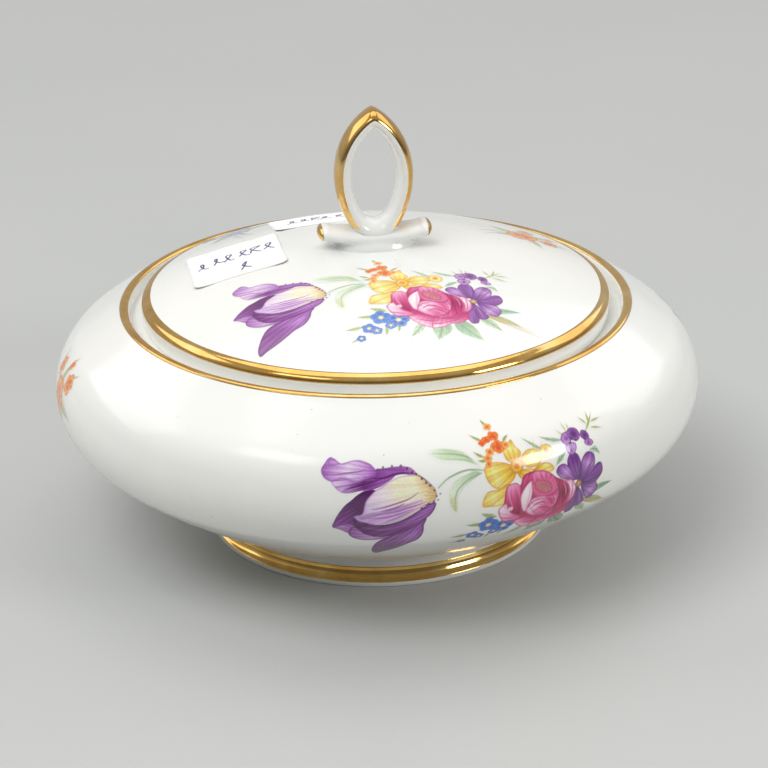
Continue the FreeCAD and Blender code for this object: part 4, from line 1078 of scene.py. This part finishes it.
def paint_rose(s):
    g = "rose"
    s.area(g, [(-6.3, 3.9), (-5.4, 4.5), (-4.2, 4.6), (-3.4, 4), (-2.5, 5.6), (-1.5, 6), (-0.1, 6.1),
               (1.3, 6), (2.7, 5.6), (3.9, 4.8), (5, 3.8), (6.2, 3.1), (7.2, 2.7), (8.4, 2.5), (9.3, 1.5),
               (9.7, 0.2), (9.6, -0.9), (9.4, -2.1), (8.5, -3), (8.5, -5), (7.7, -5.8), (6.9, -6.4),
               (5.4, -6.8), (4.2, -7.2), (3.1, -7.9), (1.2, -8.4), (-1.2, -7.8), (-3, -6.2), (-4.1, -4.7),
               (-5.2, -4.3), (-6.4, -4.2), (-7.3, -3.1), (-8, -1.4), (-7.9, -0.3), (-7, 0.5), (-6.7, 2.7)],
           [R_CRIM, R_CRIM, R_MID], None, R_DEEP, 0.25, 0.7, 0.1)
    # outer petals, left then below
    s.area(g, [(-8, -1.4), (-7.9, -0.3), (-7, 0.5), (-6.2, 0.4), (-5.6, -1), (-4.6, -2.3), (-3.1, -3.1),
               (-2.7, -4.2), (-4, -4.5), (-5.2, -4.3), (-6.4, -4.2), (-7.3, -3.1)],
           [R_MID, R_LIGHT, R_PALE], ((-3, -3.6), (-8, -0.8)), R_CRIM, 0.28, 0.8, 0.12)
    s.line(g, [(-7.4, -2.6), (-6, -3.2), (-4.4, -3.4)], 0.35, R_CRIM, 0.6)
    s.area(g, [(-4.1, -4.6), (-2.7, -3.9), (-1.3, -3.9), (1.2, -4.9), (1.6, -6.4), (0.6, -8.2),
               (-1.2, -7.8), (-3, -6.3)],
           [R_CRIM, R_MID, R_LIGHT, R_PALE], ((0, -4), (-2.6, -7.4)), R_CRIM, 0.28, 0.8, 0.14)
    s.area(g, [(0.4, -8.3), (1.2, -5.2), (3.8, -5.3), (5.9, -4.5), (7, -3.2), (8.2, -3), (8.5, -5),
               (7.7, -5.8), (6.9, -6.4), (5.4, -6.8), (4.2, -7.2), (3.1, -7.9)],
           [R_CRIM, R_MID, R_PALE], ((4, -4), (4.2, -8)), R_CRIM, 0.28, 0.8, 0.16)
    for pts in ([(-2.6, -5.4), (-0.4, -6), (1.8, -6.2)], [(1.8, -6.8), (4.2, -6.4), (7.2, -5)],
                [(0.2, -7.2), (1.6, -7), (3, -7.2)], [(3.4, -5.4), (5.4, -5.4), (7.8, -4)]):
        s.line(g, pts, 0.34, R_CRIM, 0.75)
    s.area(g, [(-6.3, 3.9), (-5.4, 4.5), (-4.2, 4.6), (-3.4, 3.9), (-3.2, 2), (-3.3, 0.4), (-3, -1.8),
               (-3.2, -3), (-4.6, -2.2), (-5.7, -1), (-6.2, 0.2), (-6.6, 2)],
           [R_LIGHT, R_MID, R_CRIM, R_DEEP], ((-5, 4.4), (-4, -2.6)), R_CRIM, 0.25, 0.7, 0.14)
    s.dot(g, (-5.4, -0.9), 0.55, [R_PALE, R_PALE], None, strength=0.8)
    s.line(g, [(-5.8, 3.4), (-5.6, 1.2), (-4.8, -1)], 0.24, R_LIGHT, 0.7)
    s.line(g, [(-4.4, 4.2), (-4, 1.6), (-3.8, -1.4)], 0.24, R_CRIM, 0.6)
    # back petals and the dusky eye
    s.area(g, [(-3.1, 4.4), (-2.5, 5.6), (-1.5, 6), (-0.1, 6.1), (-0.1, 4.9), (-1.5, 4.1), (-2.6, 3),
               (-3.2, 1.7)], [R_CRIM, R_MID], ((-3, 2), (-0.6, 6)), R_DEEP, 0.25, 0.7, 0.16)
    s.area(g, [(-0.3, 6), (1.3, 6), (2.7, 5.6), (3.8, 4.8), (4.8, 3.6), (5.2, 2.1), (5, 1), (3.8, 0.3),
               (2.1, 0.3), (0.1, 0.8), (-0.9, 2.6), (-0.7, 4.7)],
           [R_MID, R_MID, R_LIGHT], ((2, 2), (2, 6.2)), R_CRIM, 0.25, 0.7, 0.14)
    for k in range(6):
        a = math.radians(20 + 26 * k)
        s.line(g, [(2.2 + 2.0 * math.cos(a), 2.6 + 1.5 * math.sin(a)),
                   (2.2 + 2.9 * math.cos(a + 0.2), 2.6 + 2.8 * math.sin(a + 0.2))], 0.24, R_CRIM, 0.6)
    s.area(g, [(0.2, 4.2), (1.6, 4), (3, 3.4), (3.8, 2.2), (3.5, 1.2), (2, 1.1), (0.6, 1.8), (-0.2, 2.9)],
           [R_EYE, (206, 128, 132), R_EYE], ((0.2, 1.6), (3.4, 3.6)), R_CRIM, 0.3, 0.7, 0.2, 40)
    for k in range(4):
        x = 0.5 * k
        s.line(g, [(0.6 + x, 3.9 - 0.4 * x), (1.4 + x, 2.8 - 0.4 * x), (1.4 + x, 1.6)], 0.18, R_DEEP,
               0.45)
    # front petals
    s.area(g, [(-1.9, -2.4), (-1.5, -1), (-1, 0.2), (0.1, 0.7), (1.8, 0.6), (3.4, 0.2), (4.6, 0.6),
               (5.2, 1.6), (6, 1.9), (7.1, 0.6), (7.3, -1.2), (6.6, -2.6), (5.3, -3.7), (3.6, -4.6),
               (1.3, -4.6),
               (-0.6, -3.8)],
           [R_PALE, R_LIGHT, R_MID, R_MID], ((-1.6, 0.4), (5, -3.6)), R_CRIM, 0.28, 0.75, 0.16, 24)
    s.area(g, [(4.6, 3.6), (6, 3), (7.3, 1.5), (7.8, -0.1), (7.6, -1.6), (7, -3), (5.7, -4.1), (4, -5.1),
               (1.7, -5), (3.4, -4), (4.6, -2.8), (5.3, -1), (5.4, 0.7), (5.1, 2.2)],
           [R_CRIM, R_DEEP, R_CRIM, R_MID], ((5, 3.4), (3, -4.8)), R_DEEP, 0.25, 0.6, 0.22, 30)
    s.area(g, [(6.2, 3), (7.2, 2.7), (8.4, 2.5), (9.3, 1.5), (9.7, 0.2), (9.6, -0.9), (9.2, -2.1),
               (8.4, -2.9), (7.6, -3), (7.9, -1.7), (8, -0.1), (7.5, 1.5)],
           [R_MID, R_LIGHT, R_PALE, R_LIGHT], ((7.2, -2.6), (8.4, 2.4)), R_CRIM, 0.25, 0.7, 0.14)
    s.area(g, [(-0.8, 4.4), (-0.7, 3), (-0.7, 1.7), (-1, 0.3), (-1.5, -1), (-1.9, -2.4), (-2.7, -1.9),
               (-3.2, -0.4), (-3.4, 1.1), (-3, 2.4), (-2.2, 3.5), (-1.5, 4.1)],
           [R_PALE, R_PALE, (240, 208, 224)], ((-1.6, 3.6), (-2.2, -2)), R_CRIM, 0.2, 0.75, 0.05)
    s.line(g, [(-1.2, 3.4), (-1.4, 1.4), (-2, -1.4)], 0.2, R_MID, 0.6)
    for pts, w, tone in (([(-1.4, -1.4), (-0.4, -0.2), (1.2, 0)], 0.3, R_CRIM),
                         ([(-0.8, -2.2), (0.4, -1), (2, -1), (2.8, -2)], 0.3, R_CRIM),
                         ([(0, -3.2), (1.4, -2.2), (3, -2.6), (4.2, -3.6)], 0.3, R_CRIM),
                         ([(2.4, 0.1), (3.6, -0.8), (4.2, -2.2)], 0.3, R_CRIM),
                         ([(4.4, 0.2), (5, -1.2), (4.8, -2.6)], 0.26, R_LIGHT),
                         ([(-1, -2.6), (0.2, -1.7), (1.4, -1.7)], 0.4, R_PALE),
                         ([(6.4, 2.4), (7.1, 0.9), (7.3, -1)], 0.24, R_LIGHT),
                         ([(8.6, 1.8), (8.9, 0), (8.5, -2)], 0.22, R_CRIM),
                         ([(6.8, 2.7), (7.9, 1), (8.2, -1.4)], 0.24, R_CRIM)):
        s.line(g, pts, w, tone, 0.8)


def bouquet(step, seed, tulip_turn=0.0, tulip_size=1.0, tulip_shift=(0.0, 0.0)):
    s = Sheet(-46.0, 25.0, -18.5, 20.5, step, seed)
    paint_leaves(s)
    paint_yellow(s)
    paint_orange(s)
    paint_blue(s)
    s.move((-20.4, 5.0), tulip_turn, tulip_size, tulip_shift)
    paint_tulip(s)
    s.move()
    paint_violet(s)
    paint_rose(s)
    return s


def small_spray(step, seed, warm, size):
    """Lesser spray of one open flower, buds and leaves, in warm or blue colours."""
    s = Sheet(-14.0, 14.0, -12.0, 13.0, step, seed)
    s.move(size=size)
    g = "leaves"
    for root, tip, w in (((0, 0), (9.5, -1.5), 2.6), ((0, 0), (-9, -2.5), 2.6), ((0, 0), (1.5, 9.5), 2.2),
                         ((0, 0), (-2, -7.5), 2.2), ((2, 2), (7.6, 7.4), 1.4), ((-2, 2), (-7.4, 7.6), 1.4)):
        s.leaf(g, root, tip, w, [L_MID, L_OLIVE, L_PALE], L_MID, 0.3, 0.45, 0.85, L_LINE)
    s.line(g, [(0, 0), (-3, -4.5), (-4.4, -9.5)], 0.3, L_LINE, 0.7)
    s.line(g, [(0.6, 0), (-1.4, -5), (-1.6, -9.8)], 0.3, (206, 160, 120), 0.7)
    g = "rose"
    deep, mid, light = (O_DEEP, O_MID, O_PALE) if warm else (B_DEEP, (124, 142, 206), (190, 200, 236))
    for x, y, r, count in ((0, 0, 3.8, 6), (4.8, 4.2, 2.1, 5), (-4.4, 4.6, 1.9, 5), (1.2, 7.0, 1.1, 4)):
        for k in range(count):
            a = 2 * math.pi * k / count + 0.3 * x
            cx, cy = x + 0.56 * r * math.cos(a), y + 0.56 * r * math.sin(a)
            ring = [(cx + 0.5 * r * math.cos(b) * (1.0 + 0.12 * math.cos(3 * b)),
                     cy + 0.5 * r * math.sin(b)) for b in np.linspace(0, 2 * math.pi, 9)[:-1]]
            s.area(g, ring, [deep, mid, light, mid], ((x, y), (x + r * math.cos(a), y + r * math.sin(a))),
                   deep, 0.25, 0.7, 0.18, 16)
        s.dot(g, (x, y), 0.2 * r, [Y_LIGHT, Y_DEEP], deep, rim_w=0.15)
    return s


def on_lid(cx, cy, angle=0.0):
    a = math.radians(angle)

    def place(p, q):
        x = cx + p * math.cos(a) - q * math.sin(a)
        y = cy + p * math.sin(a) + q * math.cos(a)
        reach = math.hypot(x, y)
        if reach > BAND_R:
            x, y = x * BAND_R / reach, y * BAND_R / reach
        return (x, y, dome_z(min(reach, BAND_R), PAINT_LIFT))
    return place


def on_bowl(azimuth, rise):
    def place(p, q):
        a = math.radians(azimuth) + p / BELLY_R
        r, z = belly_point(rise + q, PAINT_LIFT)
        return (r * math.cos(a), r * math.sin(a), z)
    return place


SLOT = {"rose": "rose_enamel", "tulip": "tulip_enamel", "violet_flowers": "violet_enamel",
        "orange_sprig": "orange_enamel", "yellow_flowers": "yellow_enamel",
        "blue_flowers": "blue_enamel", "leaves": "leaf_enamel"}
FINE, COARSE = ((0.15, 0.22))


def names(prefix):
    return {g: f"{prefix}_{g}" for g in GROUPS}


# The lid bouquet's colours are paled (depth 0.85) as painted sheen, standing for light washing over the lid.
bouquet(FINE, 11, -14.0, 0.9, (1.0, 1.4)).hang(
    "lid_main", names("lid_bouquet"), on_lid(6.7, -28.3), LID, SLOT, 0.85)
bouquet(FINE, 12).hang("bowl_front", names("bowl_front_bouquet"), on_bowl(-70.9, -2.0), BOWL, SLOT,
                        1.1)
bouquet(COARSE, 13).hang("bowl_back", names("bowl_back_bouquet"), on_bowl(109.1, -2.0), BOWL, SLOT,
                         1.1)
for prefix, cad, place, body, warm, size, seed in (
        ("lid_blue", "lid_blue_spray", on_lid(-28.0, 32.0, 30), LID, False, 0.95, 14),
        ("lid_orange", "lid_orange_spray", on_lid(35.0, 15.0, -60), LID, True, 0.95, 15),
        ("bowl_left", "bowl_left_spray", on_bowl(-174.0, 2.0), BOWL, True, 1.15, 16),
        ("bowl_right", "bowl_right_spray", on_bowl(6.0, 2.0), BOWL, False, 1.15, 17)):
    slots = {"rose": "orange_enamel" if warm else "blue_enamel", "leaves": "leaf_enamel"}
    small_spray(COARSE, seed, warm, size).hang(
        prefix, {"rose": cad + "_flowers", "leaves": cad + "_leaves"}, place, body, slots, 1.0)


# -------------------------------------------------------------------- labels
def label(name, cad, cx, cy, long_side, short_side, angle, curl):
    """Rounded paper rectangle on the dome, its corners lifting a little."""
    a = math.radians(angle)
    corner, per = 1.6, 8
    ring = []
    for sx, sy, start in ((1, 1, 0), (-1, 1, 90), (-1, -1, 180), (1, -1, 270)):
        mx, my = sx * (long_side / 2 - corner), sy * (short_side / 2 - corner)
        for k in range(per + 1):
            b = math.radians(start + 90 * k / per)
            ring.append((mx + corner * math.cos(b), my + corner * math.sin(b)))
    full = []
    for i, p in enumerate(ring):
        q = ring[(i + 1) % len(ring)]
        parts = max(1, int(math.hypot(q[0] - p[0], q[1] - p[1]) / 0.8))
        full += [(p[0] + (q[0] - p[0]) * k / parts, p[1] + (q[1] - p[1]) * k / parts)
                 for k in range(parts)]

    def lay(u, v, lift):
        x = cx + u * math.cos(a) - v * math.sin(a)
        y = cy + u * math.sin(a) + v * math.cos(a)
        corner_share = max(0.0, abs(u) / long_side + abs(v) / short_side - 0.72) / 0.28
        return (x, y, dome_z(math.hypot(x, y), lift + curl * corner_share ** 2))
    rings = 14
    verts, faces = [lay(0, 0, PAPER_HIGH)], []
    n = len(full)
    for k in range(1, rings + 1):
        verts += [lay(u * k / rings, v * k / rings, PAPER_HIGH) for u, v in full]
    verts += [lay(u, v, PAPER_LOW) for u, v in full]
    for i in range(n):
        m = (i + 1) % n
        faces.append((0, 1 + i, 1 + m))
        for k in range(rings):
            r0, r1 = 1 + k * n, 1 + (k + 1) * n
            faces.append((r0 + i, r1 + i, r1 + m, r0 + m))
    piece(name, verts, faces, LID, [cad], "label_paper", PAPER)
    return lay


def pen_marks(name, lay, rows, seed):
    """Unreadable rows of pen loops, as flat strips on the paper."""
    rng = np.random.default_rng(seed)
    verts, faces = [], []
    for x0, x1, y, tall, slope in rows:
        count = int((x1 - x0) / 2.6)
        for k in range(count):
            mid = x0 + (k + rng.uniform(0.3, 0.7)) * (x1 - x0) / count
            lean, bend = rng.uniform(-0.2, 1.5), rng.uniform(-1.8, 1.2)
            base = y + slope * (mid - x0)
            pts = [(mid - 1.0, base + rng.uniform(0.0, 0.9)), (mid + bend * 0.5, base + tall * 0.45),
                   (mid + lean, base + tall * rng.uniform(0.8, 1.05)),
                   (mid - 0.4 + 0.3 * bend, base + tall * rng.uniform(0.55, 0.8)),
                   (mid + 0.3, base + tall * rng.uniform(0.0, 0.35)),
                   (mid + 1.3, base + rng.uniform(0.2, 1.2))]
            path = catmull(pts, False, 5)
            start = len(verts)
            for i, (u, v) in enumerate(path):
                d = path[min(i + 1, len(path) - 1)] - path[max(i - 1, 0)]
                d = d / (np.linalg.norm(d) + 1e-9) * 0.19
                verts.append(lay(u - d[1], v + d[0], PAPER_HIGH + 0.02))
                verts.append(lay(u + d[1], v - d[0], PAPER_HIGH + 0.02))
            for i in range(len(path) - 1):
                j = start + 2 * i
                faces.append((j, j + 1, j + 3, j + 2))
    piece(name, verts, faces, LID, [], "label_paper", INK)


front = label("front_paper_label", "front_label", -29.6, 5.6, 20.2, 21.6, 2.0, 0.5)
pen_marks("front_pen_marks", front, [(-8.2, 8.2, -1.6, 5.0, 0.08), (-1.0, 2.6, -8.6, 4.2, 0.0)], 3)
rear = label("rear_paper_label", "rear_label", -9.2, 27.0, 21.6, 15.0, 3.0, 0.35)
pen_marks("rear_pen_marks", rear, [(-8.4, 8.4, -2.4, 4.4, 0.0)], 4)


# --------------------------------------------------------- floor, light, view
bpy.ops.mesh.primitive_plane_add(size=6.0, location=(0, 0, 0))
ground = bpy.context.object
ground.name = "studio_floor"
ground.data.materials.append(FLOOR)

world = bpy.data.worlds.new("studio")
world.use_nodes = True
sky = world.node_tree
heading = sky.nodes.new("ShaderNodeTexCoord")
split = sky.nodes.new("ShaderNodeSeparateXYZ")
shade = sky.nodes.new("ShaderNodeValToRGB")
sky.links.new(heading.outputs["Generated"], split.inputs["Vector"])
lean = sky.nodes.new("ShaderNodeMath")
lean.operation = "MULTIPLY_ADD"
lean.inputs[1].default_value = 0.55      # the wall behind is lighter than the room in front
sky.links.new(split.outputs["Y"], lean.inputs[0])
sky.links.new(split.outputs["Z"], lean.inputs[2])
sky.links.new(lean.outputs["Value"], shade.inputs["Fac"])
sky.links.new(shade.outputs["Color"], sky.nodes["Background"].inputs["Color"])
shade.color_ramp.elements[0].position = 0.0
shade.color_ramp.elements[0].color = (0.28, 0.29, 0.30, 1.0)
shade.color_ramp.elements[1].position = 0.5
shade.color_ramp.elements[1].color = (1.0, 0.99, 0.97, 1.0)
sky.nodes["Background"].inputs["Strength"].default_value = 0.5
bpy.context.scene.world = world
bpy.context.scene.view_settings.view_transform = "Standard"


def softbox(name, azimuth, height, distance, size, power, mirrored=True):
    """Area light aimed at the middle of the box. Unless mirrored, the glaze doesn't reflect it."""
    a, e = math.radians(azimuth), math.radians(height)
    spot = Vector((math.cos(a) * math.cos(e), math.sin(a) * math.cos(e), math.sin(e))) * distance
    spot.z += 0.04
    data = bpy.data.lights.new(name, "AREA")
    data.shape = "RECTANGLE"
    data.size, data.size_y = size
    data.energy = power
    lamp = bpy.data.objects.new(name, data)
    lamp.location = spot
    lamp.rotation_euler = (spot - Vector((0, 0, 0.04))).to_track_quat("Z", "Y").to_euler()
    lamp.visible_glossy = mirrored
    bpy.context.scene.collection.objects.link(lamp)


softbox("key_left", -142.0, 57.0, 1.3, (0.9, 0.7), 7.5, False)
softbox("soft_left", -142.0, 50.0, 1.3, (0.5, 0.3), 1.0)
softbox("window_right", -38.0, 24.0, 1.4, (0.46, 0.32), 5.5)
softbox("top", 90.0, 72.0, 1.5, (1.4, 1.0), 5.5)
softbox("back_left", 148.0, 34.0, 1.6, (1.2, 0.8), 3.6)
softbox("back_right", 32.0, 34.0, 1.6, (1.2, 0.8), 3.0)

YAW = math.radians(-7.0)
PITCH, SWING, ROLL = 0.4040, 0.0030, -0.0165
STAND_OFF, EYE_HEIGHT = 0.50622, 0.24698
look = Vector((math.sin(SWING) * math.cos(PITCH), math.cos(SWING) * math.cos(PITCH), -math.sin(PITCH)))
right = Vector((math.cos(SWING), -math.sin(SWING), 0.0))
above = right.cross(look)
side = math.cos(ROLL) * right + math.sin(ROLL) * above
top = -math.sin(ROLL) * right + math.cos(ROLL) * above
turn = Matrix.Rotation(YAW, 3, "Z")
side, top, back = turn @ side, turn @ top, turn @ -look
place = turn @ Vector((0.0, -STAND_OFF, EYE_HEIGHT))
camera_data = bpy.data.cameras.new("camera")
camera_data.sensor_width = 36.0
camera_data.lens = 117.19
camera_data.clip_start = 0.01
camera = bpy.data.objects.new("camera", camera_data)
bpy.context.scene.collection.objects.link(camera)
camera.matrix_world = Matrix((
    (side.x, top.x, back.x, place.x),
    (side.y, top.y, back.y, place.y),
    (side.z, top.z, back.z, place.z),
    (0.0, 0.0, 0.0, 1.0)))
bpy.context.scene.camera = camera
